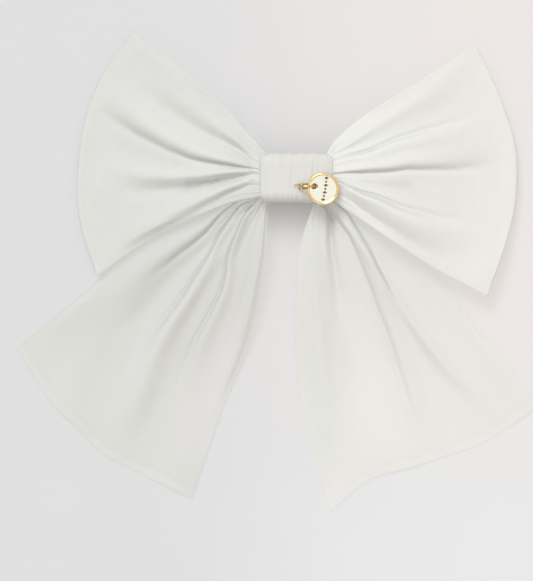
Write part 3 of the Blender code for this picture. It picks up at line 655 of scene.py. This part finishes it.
leftTail = {
    "seed": 31,
    "cloth": leftTailShadedTulle,
    "weight": 0.88,
    "pivot": (-12.5, -7.0),
    "root": arc((-12.5, -7.0), 3.5, 180.0, 305.0),
    "inner": ((-10.5, -0.5), (-5.0, -3.5)),
    "upper": ((-27.5, -7.2), (-54.0, -19.6), (-75.2, -39.4), (-102.6, -61.7)),
    "hem": ((-102.6, -61.7), (-90.5, -80.7), (-81.0, -90.2), (-71.5, -100.0), (-59.5, -106.6),
    (-38.3, -116.6)),
    "low": ((-11.2, -29.2), (-16.1, -56.6), (-27.0, -84.7), (-38.3, -116.6)),
    "folds": (
        fold("tuckLow", ((-19.5, -7.3), (-21.9, -8.7), (-27.0, -12.4), (-32.5, -18.6), (-41.2, -25.9),
        (-53.3, -35.0)),
            (1.7, 1.0), (0.7, 3.0), lean=0.6, dense=0.15, line=0.35),
        fold("tuckHigh", ((-18.6, -9.5), (-21.2, -11.9), (-27.7, -20.4), (-32.1, -28.5), (-43.1, -45.6),
        (-56.6, -63.1)),
            (1.9, 1.9), (0.6, 2.8), lean=0.6, dense=0.15, line=0.55),
        fold("tuckHigh", ((-16.4, -11.0), (-18.6, -13.6), (-22.6, -22.3), (-25.2, -30.3), (-27.0, -40.1),
        (-35.0, -56.6), (-42.3, -73.4)),
            (1.9, 1.6), (0.6, 2.8), lean=0.6, dense=0.15, line=0.5),
        fold("valley", ((-34.0, -26.0), (-47.0, -39.0), (-62.0, -59.0), (-78.0, -82.0)),
            (0.8, 2.2), (1.6, 9.0)),
        fold("ridge", ((-24.0, -10.0), (-38.0, -20.0), (-60.0, -36.0), (-84.0, -56.0)),
            (0.8, 2.0), (1.2, 8.0)),
        fold("ridge", ((-34.0, -38.0), (-50.0, -62.0), (-62.0, -92.0)), (0.8, 1.6), (2.0, 6.0)),
        fold("ridge", ((-11.6, -12.0), (-13.5, -29.0), (-19.5, -56.0), (-30.0, -84.0)),
            (1.0, 1.4), (0.8, 3.0)),
    ),
    "bands": (
        (((-26.0, -22.0), (-40.0, -45.0), (-55.0, -66.0)), (0.8, 2.6), -0.22, False),
        (((-22.0, -34.0), (-25.0, -50.0), (-34.0, -72.0)), (1.6, 3.8), -0.24, False),
        (((-38.0, -20.0), (-60.0, -40.0), (-78.0, -66.0)), (4.0, 15.0), 0.14, False),
        (((-24.0, -52.0), (-30.0, -72.0), (-38.0, -98.0)), (5.0, 9.0), -0.20, False),
        (((-60.0, -106.0), (-50.0, -108.0), (-42.0, -112.0)), (5.0, 5.0), -0.24, False),
    ),
}

rightTail = {
    "seed": 47,
    "cloth": rightTailLitTulle,
    "weight": 0.78,
    "pivot": (8.0, -6.5),
    "root": arc((8.0, -6.5), 3.5, 350.0, 232.0),
    "inner": ((6.5, 0.0), (1.0, -2.5)),
    "upper": ((22.0, -13.0), (46.2, -29.6), (67.9, -55.1), (89.0, -82.5)),
    "hem": ((89.0, -82.5), (70.4, -95.6), (47.5, -103.7), (27.2, -110.0), (12.4, -121.9)),
    "low": ((0.6, -29.4), (0.2, -69.9), (4.2, -94.3), (12.4, -121.9)),
    "folds": (
        fold("valley", ((11.0, -10.4), (12.0, -12.5), (12.4, -16.7), (12.8, -24.8), (14.2, -33.9),
        (16.8, -51.5)),
            (2.6, 1.2), (0.8, 2.6), line=0.55),
        fold("tuckHigh", ((14.0, -9.0), (17.9, -12.6), (20.8, -16.9), (27.0, -26.6), (29.9, -32.9),
        (38.0, -47.8)),
            (1.9, 1.4), (0.6, 2.0), lean=0.7, dense=0.2, line=0.6),
        fold("tuckLow", ((19.0, -20.4), (21.9, -26.6), (35.4, -60.6), (42.0, -82.1), (46.7, -95.3)),
            (1.0, 1.9), (1.0, 3.4), lean=0.5, dense=0.18, line=0.2),
        fold("ridge", ((13.6, -10.6), (16.1, -13.6), (19.0, -18.6), (33.9, -40.1), (51.5, -64.6),
        (67.2, -80.7)),
            (1.3, 1.8), (0.8, 3.0), dense=0.2),
        fold("ridge", ((5.0, -12.0), (6.0, -24.0), (8.0, -50.0), (11.0, -90.0)), (1.0, 1.2), (1.2, 5.0)),
        fold("ridge", ((22.0, -14.5), (44.0, -32.0), (64.0, -55.0), (82.0, -78.0)), (0.6, 1.2), (1.2, 5.0)),
    ),
    "bands": (
        # the edge folded under
        (((6.5, -13.0), (7.2, -40.0), (8.0, -70.0), (11.0, -106.0)), (3.0, 8.4), 0.30, False),
        (((22.0, -42.0), (27.0, -70.0), (30.0, -98.0)), (5.0, 11.0), -0.30, False),
        (((22.0, -20.0), (36.0, -40.0), (50.0, -60.0)), (3.0, 10.0), -0.14, False),
        (((14.0, -111.0), (13.0, -119.0)), (9.0, 6.0), -0.34, False),
    ),
}


def tailMid(tail, x, y):
    away = np.hypot(x - tail["pivot"][0], y - tail["pivot"][1])
    return 0.75 + 9.85 * (1 - ease((away - 9.0) / 70.0)) ** 1.15


def makeTail(name, tail, look):
    root = tail["root"]
    edges = (root, tail["hem"], (root[0], *tail["upper"]), (root[-1], *tail["low"]))
    v = spaced(look["columns"], 0, 1)
    outward = 1 - (1 - np.linspace(0, 1, look["rows"])) ** 1.15      # rows crowd towards the hem
    s = np.concatenate((np.linspace(-look["tuckShare"], 0, 9)[:-1],
        0.45 * outward + 0.55 * np.linspace(0, 1, look["rows"]) ** 1.5))
    s, v = np.meshgrid(s, v, indexing="ij")
    inside = np.clip(s, 0, 1)
    width = widthAt(edges, inside)
    length = look["clothRun"]
    rise, shift, extra, creaseShade = foldShape(edges, tail["folds"], inside, v, width)
    edgeFade = ease(v / 0.04) * ease((1 - v) / 0.04)
    rise *= look["foldGain"]
    shift *= edgeFade
    flat = patch(edges, inside, np.clip(v + shift / width, 0, 1))
    tuck = ease(-s / look["tuckShare"])[..., None]
    flat = flat * (1 - tuck) + along(tail["inner"], v) * tuck
    near = inside * length
    x, y = flat[..., 0], flat[..., 1]
    level = tailMid(tail, x, y) * (1 - tuck[..., 0]) + look["foldHeight"] * tuck[..., 0]
    fine = look["fineGather"] * np.exp(-near / 9.0) * gathers(v, tail["seed"], (11, 17, 23))
    wide = look["wideGather"] * np.exp(-near / 34.0) * gathers(v, tail["seed"] + 1, (5, 7, 10))
    wave = 0.55 * np.sin(3.1 * math.pi * v + 5.0 * inside + tail["seed"]) * ease(inside * 1.5)
    wave += 0.3 * np.sin(7.0 * math.pi * v - 6.0 * inside) * ease(inside * 1.3)
    lift = rise * edgeFade + fine + wide + wave
    under = ease((near - 6.0) / 40.0)       # near the knot the loops lie on top, so folds there only dip
    lift = np.where(lift > 0, lift * (0.7 + 0.3 * under), lift)
    z = level + lift * (1 - tuck[..., 0])
    z = 0.12 + np.logaddexp(0, (z - 0.12) / 0.25) * 0.25        # rests on the table without cutting it
    fromHem = (1 - inside) * length
    hem = 1 - ease((fromHem - look["hemBand"] + 0.3) / 0.6)
    line = bell(fromHem - look["hemBand"], 0.5)
    rim = rimShape(fromHem, 0.5, v, width)
    bands = bandShape(edges, tail["bands"], inside, v, width)
    density = tail["weight"] + (0.95 - tail["weight"]) * bell(near, 24.0) + extra + bands
    density = density - 0.14 * hem + 0.2 * line + 0.25 * rim
    place = np.dstack((near, v * 84.0, np.zeros_like(s)))
    # darker rims and hem line, plus painted shade in the crease bottoms
    rimAndCreaseShadeAmount = np.maximum(np.maximum(0.10 * rim, 0.08 * line), creaseShade)
    return gridPiece(name, np.dstack((x, y, z)), place, np.clip(density, 0, 1), rimAndCreaseShadeAmount, tail["cloth"])


for name, tail, node, body in (("tailClothLeft", leftTail, "left_tail", "tail_left"),
                               ("tailClothRight", rightTail, "right_tail", "tail_right")):
    piece = makeTail(name, tail, tailLook)
    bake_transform(piece)
    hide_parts(node)
print("tails made")


# the knot: wrap, pinched middle and folded tail strip

wrapLook = {
    "halfWidth": 9.1,
    "low": 11.6,
    "high": 20.4,
    "corner": 3.8,
    "pleats": 13,
    "pleatHeight": (0.10, 0.30),
    "pleatWidth": (0.35, 0.95),
    "endInset": 1.25,
    "ends": 13.0,
    "ringCentre": (3.6, -3.4, 21.3),
    "ringReach": 3.4,
    "ringPin": (1.75, 20.75),    # x and z of the thread that the ring turns on
    "ringSwing": 80.0,
    "ringRoom": 0.3,
}


def roundedLoop(halfWidth, low, high, corner, count):
    # evenly spaced points round a box with round corners, in the plane across the knot
    spots = []
    for centreY, centreZ, start in ((halfWidth - corner, high - corner, 0),
            (-halfWidth + corner, high - corner, 90),
            (-halfWidth + corner, low + corner, 180),
            (halfWidth - corner, low + corner, 270)):
        for angle in np.radians(np.linspace(start, start + 90, 12)):
            spots.append((centreY + corner * math.cos(angle), centreZ + corner * math.sin(angle)))
    spots = np.array(spots + spots[:1])
    run = np.concatenate(([0], np.cumsum(np.linalg.norm(np.diff(spots, axis=0), axis=1))))
    t = np.linspace(0, run[-1], count, endpoint=False)
    return np.column_stack((np.interp(t, run, spots[:, 0]), np.interp(t, run, spots[:, 1]))), run[-1]


def makeWrap(look):
    count = 190
    ring, around = roundedLoop(look["halfWidth"], look["low"], look["high"], look["corner"], count)
    after, before = np.roll(ring, -1, axis=0), np.roll(ring, 1, axis=0)
    tangent = (after - before) / np.linalg.norm(after - before, axis=1)[:, None]
    normal = np.column_stack((tangent[:, 1], -tangent[:, 0]))
    lipX = np.array((-11.4, -12.2, -12.75))
    lipInset = np.array((1.75, 1.65, 1.45))
    span = np.linspace(-look["ends"], look["ends"], 150)
    xs = np.concatenate((lipX, span, -lipX[::-1]))
    rounding = look["endInset"] * np.exp(-(look["ends"] - np.abs(span)) / 2.1)
    inset = np.concatenate((lipInset, rounding, lipInset[::-1]))
    t = np.arange(count) / count
    x = xs[:, None] + 0.35 * np.sin(2 * math.pi * t + 0.4)[None, :] * np.cos(xs / 9.0)[:, None]
    puff = np.zeros_like(x)
    rng = np.random.default_rng(8)
    for middle in np.linspace(-11.0, 11.0, look["pleats"]):
        middle += rng.uniform(-0.8, 0.8)
        tall, wide = rng.uniform(*look["pleatHeight"]), rng.uniform(*look["pleatWidth"])
        sway = 0.6 * np.sin(2 * math.pi * t + rng.uniform(0, 6))
        sway += 0.3 * np.sin(4 * math.pi * t + rng.uniform(0, 6))
        puff += tall * bell(xs[:, None] - middle - sway[None, :], wide)
    puff *= bell(xs[:, None] / look["ends"], 1.6)
    waist = 0.35 * np.cos(xs * math.pi / 26.0)[:, None]     # drawn in a touch at the middle
    off = puff - waist - inset[:, None]
    y = ring[None, :, 0] + normal[None, :, 0] * off
    z = ring[None, :, 1] + normal[None, :, 1] * off
    # the jump ring swings in a slot pressed into the top of the wrap
    cx, cy, cz = look["ringCentre"]
    pinX, pinZ = look["ringPin"]
    dip = np.full_like(x, 99.0)
    for swing in np.radians(np.linspace(0, look["ringSwing"], 9)):
        centreX = pinX + (cx - pinX) * math.cos(swing) - (cz - pinZ) * math.sin(swing)
        centreZ = pinZ + (cx - pinX) * math.sin(swing) + (cz - pinZ) * math.cos(swing)
        reach = look["ringReach"] ** 2 - (x - centreX) ** 2
        under = centreZ - np.sqrt(np.clip(reach, 0, None)) - look["ringRoom"]
        dip = np.where(reach > 0, np.minimum(dip, under), dip)
    groove = np.minimum(dip, 21.0) + 3.2 * ease((np.abs(y - cy) - 0.55) / 0.9)
    z = np.where(z > 16.0, np.minimum(z, groove), z)
    density = np.clip(0.75 + 0.5 * puff, 0, 1)
    rim = np.repeat(bell(13.2 - np.abs(xs), 0.3)[:, None], count, 1) * 0.12
    place = np.dstack((np.broadcast_to((t * around)[None, :], x.shape), x, np.zeros_like(x)))
    return gridPiece("wrapBand", np.dstack((x, y, z)), place, density, rim, wrapTulle, roundAcross=True)


wrap = makeWrap(wrapLook)
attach(wrap, "bow_core")
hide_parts("centre_wrap")


# a packed bundle of pleats round a line of stations
def bundle(name, stations, flutes, deep, seed):
    count = 132
    t = np.arange(count) * 2 * math.pi / count
    rng = np.random.default_rng(seed)
    phase = rng.uniform(0, 6, 2)
    rows, place = [], []
    stations = np.array(stations, float)
    fine = np.linspace(0, len(stations) - 1, 64)
    steps = np.arange(len(stations))
    values = [np.interp(fine, steps, column) for column in stations.T]
    kernel = np.array((1, 2, 3, 2, 1)) / 9.0
    values = [np.convolve(np.pad(column, 2, mode="edge"), kernel, mode="valid") for column in values]
    values = np.column_stack(values)
    for k, (x, y, z, wide, tall) in enumerate(values):
        ahead = values[min(k + 1, len(values) - 1), :2] - values[max(k - 1, 0), :2]
        ahead = ahead / max(np.linalg.norm(ahead), 1e-6)
        sideways = np.array((-ahead[1], ahead[0]))
        ends = math.sin(math.pi * min(max((k + 0.5) / len(values), 0.0), 1.0)) ** 0.15
        flute = 1 + deep * np.sin(flutes * t + phase[0] + 0.4 * math.sin(k * 0.2))
        flute += 0.4 * deep * np.sin((flutes * 2 + 3) * t + phase[1])
        across = wide * ends * np.cos(t) * flute
        up = tall * ends * np.sign(np.sin(t)) * np.abs(np.sin(t)) ** 0.7 * flute
        rows.append(np.column_stack((x + sideways[0] * across, y + sideways[1] * across, z + up)))
        place.append(np.column_stack((np.full(count, k * 0.5), t * wide, np.zeros(count))))
    points, place = np.array(rows), np.array(place)
    shape = points.shape[:2]
    obj = gridPiece(name, points, place, np.full(shape, 0.75), np.zeros(shape), packedTulle,
        roundAcross=True)
    capped = obj.data
    last = shape[0] * shape[1]
    vertices = [tuple(c.co) for c in capped.vertices]
    faces = [tuple(p.vertices) for p in capped.polygons]
    faces.append(tuple(range(count)))
    faces.append(tuple(reversed(range(last - count, last))))
    sizes = {"place": 3, "weight": 1, "edge": 1}
    data = {label: np.zeros(len(vertices) * size, np.float32) for label, size in sizes.items()}
    for label, store in data.items():
        capped.attributes[label].data.foreach_get("vector" if label == "place" else "value", store)
    capped.clear_geometry()
    capped.from_pydata(vertices, [], faces)
    capped.polygons.foreach_set("use_smooth", np.ones(len(faces), bool))
    for label, store in data.items():
        layer = capped.attributes.new(label, "FLOAT_VECTOR" if label == "place" else "FLOAT", "POINT")
        layer.data.foreach_set("vector" if label == "place" else "value", store)
    return obj


waist = bundle("waistBundle", (
    (-12.0, 0.2, 15.9, 6.3, 1.5), (-7.0, 0.1, 15.85, 6.0, 1.5), (-2.2, 0.0, 15.6, 5.2, 1.35),
    (0.0, 0.0, 15.6, 5.0, 1.3),
    (2.2, 0.0, 15.6, 5.2, 1.35), (7.0, 0.1, 15.85, 6.0, 1.5), (12.0, 0.2, 15.9, 6.3, 1.5)), 21, 0.09, 5)
foldBundle = bundle("tailFoldBundle", (
    (-12.6, -8.2, 10.6, 2.3, 0.55), (-11.6, -4.6, 10.6, 2.6, 0.58), (-8.4, -0.6, 10.6, 2.9, 0.6),
    (-3.0, 1.6, 10.6, 3.0, 0.6),
    (2.0, 1.2, 10.6, 3.0, 0.6), (6.0, -1.6, 10.6, 2.8, 0.6), (7.6, -4.6, 10.6, 2.6, 0.58),
    (8.2, -7.6, 10.6, 2.3, 0.55)), 15, 0.08, 9)
for piece, node, flat in ((waist, "gathered_waist", (0.024, 0.026)),
        (foldBundle, "tail_fold", (0.012, 0.024))):
    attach(piece, "bow_core")
    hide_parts(node)
print("knot made")


# metal and thread finishes

def objectPlace(tree):
    return tree.nodes.new("ShaderNodeTexCoord").outputs["Object"]


def metalMaterial(name, bright, dull, smooth, rough, **wear):
    material, tree, shader = newMaterial(name, Metallic=1.0)
    marks = placeGroup(tree, metalGroup, objectPlace(tree), **wear)
    colour = mixColour(tree, marks["Patches"], bright, dull)
    tree.links.new(mixColour(tree, mathNode(tree, "MULTIPLY", marks["Scratches"], 0.35), colour, bright),
        shader.inputs["Base Color"])
    wear = weighted(tree, marks["Patches"], 0.6, marks["Lines"], 0.4)
    rough = rangeNode(tree, wear, 0.0, 1.0, smooth, rough)
    tree.links.new(rough, shader.inputs["Roughness"])
    bumpInto(tree, shader, mathNode(tree, "ADD", marks["Lines"], marks["Scratches"]), 0.12, 0.00003)
    return material


nickelPlate = metalMaterial("nickel plate", (0.60, 0.60, 0.58), (0.47, 0.47, 0.45), 0.22, 0.42, Brush=1.0)
springSteel = metalMaterial("spring steel", (0.46, 0.46, 0.45), (0.34, 0.34, 0.34), 0.30, 0.50, Brush=0.7)
goldWire = metalMaterial("gold plated wire", (0.86, 0.58, 0.20), (0.62, 0.36, 0.10), 0.12, 0.26, Brush=0.5,
    Patch_Scale=260.0)
goldRim = metalMaterial("gold plated rim", (0.90, 0.66, 0.28), (0.72, 0.46, 0.14), 0.12, 0.24, Brush=0.5,
    Patch_Scale=180.0)
paleGold = metalMaterial("pale gold face", (0.79, 0.79, 0.71), (0.75, 0.735, 0.64), 0.14, 0.22, Brush=0.6,
    Patch_Scale=70.0)


def threadMaterial(name):
    material, tree, shader = newMaterial(name, Roughness=0.7, Sheen_Weight=0.3, Sheen_Roughness=0.4)
    place = objectPlace(tree)
    twist = tree.nodes.new("ShaderNodeTexWave")
    twist.bands_direction = "DIAGONAL"
    twist.inputs["Scale"].default_value = 900.0
    twist.inputs["Distortion"].default_value = 1.2
    tree.links.new(place, twist.inputs["Vector"])
    fuzz = noiseNode(tree, place, 5000.0, 3.0)
    shade = weighted(tree, twist.outputs["Fac"], 0.7, fuzz, 0.3)
    tree.links.new(mixColour(tree, shade, (0.62, 0.59, 0.50), (0.88, 0.86, 0.79)),
        shader.inputs["Base Color"])
    bumpInto(tree, shader, shade, 0.5, 0.00008)
    return material


ivoryThread = threadMaterial("ivory twisted thread")
inkMaterial, inkTree, inkShader = newMaterial("dark enamel", Roughness=0.35, Coat_Weight=0.3)
inkCloud = noiseNode(inkTree, objectPlace(inkTree), 1500.0)
inkColour = mixColour(inkTree, inkCloud, (0.10, 0.05, 0.02), (0.20, 0.11, 0.05))
inkTree.links.new(inkColour, inkShader.inputs["Base Color"])

finishes = {
    "base_plate": nickelPlate, "clasp_arm": nickelPlate, "hinge_pin": nickelPlate,
    "tension_bar": springSteel, "catch_prong_upper": springSteel, "catch_prong_lower": springSteel,
    "gather_thread": ivoryThread, "plate_lashing_left": ivoryThread, "plate_lashing_right": ivoryThread,
    "charm_thread": ivoryThread,
}
for node, finish in finishes.items():
    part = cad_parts[node]
    if not part.material_slots:
        part.data.materials.append(None)
    for holder in part.material_slots:
        holder.material = finish
print("clip and threads finished")


# charm: jump ring and disc

charmLook = {
    "ringCentre": wrapLook["ringCentre"],
    "ringRadius": 2.85,
    "ringWire": 0.45,
    "splitAt": 60.0,
    "split": 3.0,
    "discCentre": (9.5, -4.3),
    "discRadius": 5.7,
    "holeCentre": (6.45, -3.4),
    "holeRadius": 1.0,
    "low": 20.9,
    "high": 21.7,
    "rimWidth": 0.75,
    "dome": 0.05,
    "domeSquare": 24.5,      # square of the dome's reach, under the marks
}


def makeRing(look):
    cx, cy, cz = look["ringCentre"]
    turns = np.radians(np.linspace(look["splitAt"] + look["split"] / 2,
        look["splitAt"] + 360 - look["split"] / 2, 121))
    sides = 24
    section = np.arange(sides) * 2 * math.pi / sides
    rows, place = [], []
    swell = [0.0, 0.62, 0.9] + [1.0] * (len(turns) - 6) + [0.9, 0.62, 0.0]     # rounded cut ends
    for turn, size in zip(turns, swell):
        wire = max(look["ringWire"] * size, 0.01)
        reach = look["ringRadius"] + wire * np.cos(section)
        rows.append(np.column_stack((cx + reach * math.cos(turn), cy + wire * np.sin(section),
            cz + reach * math.sin(turn))))
        place.append(np.column_stack((np.full(sides, turn * look["ringRadius"]),
            section * look["ringWire"], np.zeros(sides))))
    rows, place = np.array(rows), np.array(place)
    shape = rows.shape[:2]
    return gridPiece("jumpRing", rows, place, np.ones(shape), np.zeros(shape), goldWire, roundAcross=True)


def makeDisc(look):
    count = 144
    t = np.arange(count) * 2 * math.pi / count
    spoke = np.column_stack((np.cos(t), np.sin(t)))
    hole, centre = np.array(look["holeCentre"]), np.array(look["discCentre"])
    low, high, radius = look["low"], look["high"], look["discRadius"]
    rows, gold = [], []

    def add(xy, z, isRim):
        rows.append(np.column_stack((xy, np.full(count, z) if np.isscalar(z) else z)))
        gold.append(isRim)
    for out, z in ((0.0, low + 0.3), (0.0, high - 0.12), (0.03, high - 0.04), (0.10, high)):
        add(hole + (look["holeRadius"] + out) * spoke, z, 1)
    faceOuter = radius - look["rimWidth"]
    start = hole + (look["holeRadius"] + 0.16) * spoke
    for share in np.linspace(0, 1, 15):
        xy = start * (1 - share) + (centre + faceOuter * spoke) * share
        lift = look["dome"] * (1 - (np.linalg.norm(xy - centre, axis=1) / faceOuter) ** 2)
        add(xy, high + lift, 0)
    for inset, rise in ((0.70, 0.06), (0.62, 0.12), (0.50, 0.14), (0.16, 0.14), (0.05, 0.09), (0.0, 0.0)):
        add(centre + (radius - inset) * spoke, high + rise, 1)
    for inset, rise in ((0.0, 0.12), (0.04, 0.03), (0.12, 0.0)):
        add(centre + (radius - inset) * spoke, low + rise, 1)
    back = centre + (radius - 0.2) * spoke
    for share in np.linspace(0, 1, 9):
        add(back * (1 - share) + (hole + (look["holeRadius"] + 0.1) * spoke) * share, low, 0)
    add(hole + (look["holeRadius"] + 0.02) * spoke, low + 0.05, 1)
    rows = np.array(rows)
    shape = rows.shape[:2]
    obj = gridPiece("charmDisc", rows, rows.copy(), np.ones(shape), np.zeros(shape), paleGold,
        roundAcross=True, roundAlong=True)
    obj.data.materials.append(goldRim)
    marks = np.repeat(np.array(gold) | np.roll(np.array(gold), -1), count)
    obj.data.polygons.foreach_set("material_index", marks.astype(np.int32))
    return obj


# a plain column of small lozenges and dots, sunk flush in the face
def makeMarks(look):
    vertices, faces = [], []
    cx, cy = look["discCentre"]
    line = along(((10.7, -0.4), (10.3, -4.3), (9.5, -8.1)), np.linspace(0, 1, 7))
    for k, (x, y) in enumerate(line):
        wide, tall = (0.42, 0.42) if k % 2 else (0.95, 0.62)
        corners = 10 if k % 2 else 4
        base = len(vertices)
        for ring, z in ((1.0, 0.0), (0.86, 0.035)):
            for a in np.arange(corners * 3) * 2 * math.pi / (corners * 3):
                sharp = 1 / (abs(math.cos(a)) + abs(math.sin(a))) if corners == 4 else 1.0
                lift = look["dome"] * (1 - ((x - cx) ** 2 + (y - cy) ** 2) / look["domeSquare"])
                vertices.append(((x + wide * ring * sharp * math.cos(a)) * mm,
                    (y + tall * ring * sharp * math.sin(a)) * mm,
                    (look["high"] + lift - 0.02 + z) * mm))
        n = corners * 3
        faces += [(base + i, base + (i + 1) % n, base + n + (i + 1) % n, base + n + i) for i in range(n)]
        faces.append(tuple(range(base + n, base + 2 * n)))
    mesh = bpy.data.meshes.new("charmMarks")
    mesh.from_pydata(vertices, [], faces)
    mesh.materials.append(inkMaterial)
    obj = bpy.data.objects.new("charmMarks", mesh)
    scene.collection.objects.link(obj)
    return obj


ringPiece, discPiece, marksPiece = makeRing(charmLook), makeDisc(charmLook), makeMarks(charmLook)
for piece, body, node in ((ringPiece, "ring", "jump_ring"), (discPiece, "disc", "charm_disc")):
    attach(piece, body)
    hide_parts(node)
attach(marksPiece, "disc")
print("charm made")


# table, light and camera

studioLook = {
    "tableSize": 1.6,
    # the table is painted darker and cooler on the left and lighter on the right, for light that falls off
    # towards the left
    "tableShadedLeft": (0.660, 0.671, 0.699),       # left side
    "tableLitRightLow": (0.730, 0.742, 0.768),
    "tableLitRightHigh": (0.745, 0.722, 0.724),
    "horizon": (0.31, 0.28, 0.255),
    "overhead": (0.865, 0.84, 0.79),
    "skyStrength": 1.355,
    "key": 1.37,
    "keyColour": (0.95, 1.0, 1.04),
    "keyAngle": 24.0,            # degrees across, so shadows stay soft
    "keyFrom": (-0.34, 0.84, 1.25),
    "viewHeight": 1.0,
    "viewCentre": (-10.8, -40.7),    # millimetres, as is the span
    "viewSpan": 212.0,
    "viewLift": 0.004,
}


def makeTable(look):
    size = look["tableSize"] / 2
    mesh = bpy.data.meshes.new("table")
    mesh.from_pydata([(-size, -size, 0), (size, -size, 0), (size, size, 0), (-size, size, 0)], [],
        [(0, 1, 2, 3)])
    material, tree, shader = newMaterial("pale table", Roughness=0.9, Specular_IOR_Level=0.1)
    split = tree.nodes.new("ShaderNodeSeparateXYZ")
    tree.links.new(objectPlace(tree), split.inputs[0])
    cloud = rangeNode(tree, noiseNode(tree, objectPlace(tree), 14.0, 2.0), 0.3, 0.7, -0.12, 0.12)
    # painted light: lighter towards the right, with a cloudy border
    litRightSide = mathNode(tree, "ADD", rangeNode(tree, split.outputs[0], -0.08, 0.07, 0.0, 1.0, True), cloud,
        clamp=True)
    # on the lighter right side, bluer lower down and pinker further up
    above = rangeNode(tree, split.outputs[1], -0.13, -0.06, 0.0, 1.0, True)
    right = mixColour(tree, above, look["tableLitRightLow"], look["tableLitRightHigh"])
    tree.links.new(mixColour(tree, litRightSide, look["tableShadedLeft"], right), shader.inputs["Base Color"])
    mesh.materials.append(material)
    obj = bpy.data.objects.new("table", mesh)
    scene.collection.objects.link(obj)
    return obj


table = makeTable(studioLook)

world = bpy.data.worlds.new("studio")
scene.world = world
world.use_nodes = True
worldTree = world.node_tree
direction = worldTree.nodes.new("ShaderNodeTexCoord").outputs["Generated"]
splitUp = worldTree.nodes.new("ShaderNodeSeparateXYZ")
worldTree.links.new(direction, splitUp.inputs[0])
height = mathNode(worldTree, "MAXIMUM", splitUp.outputs[2], 0.0)
climb = mathNode(worldTree, "POWER", height, 2.0)
sky = mixColour(worldTree, climb, studioLook["horizon"], studioLook["overhead"])
background = worldTree.nodes["Background"]
worldTree.links.new(sky, background.inputs["Color"])
background.inputs["Strength"].default_value = studioLook["skyStrength"]

sun = bpy.data.lights.new("softKey", "SUN")
sun.energy = studioLook["key"]
sun.color = studioLook["keyColour"]
sun.angle = math.radians(studioLook["keyAngle"])
sunObject = bpy.data.objects.new("softKey", sun)
scene.collection.objects.link(sunObject)
sunObject.rotation_mode = "QUATERNION"
sunObject.rotation_quaternion = Vector(studioLook["keyFrom"]).to_track_quat("Z", "Y")

camera = bpy.data.objects.new("camera", bpy.data.cameras.new("camera"))
scene.collection.objects.link(camera)
camera.data.lens = camera.data.sensor_width * studioLook["viewHeight"] / (studioLook["viewSpan"] * mm)
camera.data.clip_start, camera.data.clip_end = 0.1, 10.0
viewX, viewY = studioLook["viewCentre"]
camera.location = (viewX * mm, viewY * mm, studioLook["viewHeight"] + studioLook["viewLift"])
scene.camera = camera

scene.view_settings.view_transform = "Standard"
scene.cycles.transparent_max_bounces = 32
print("table, light and camera set")
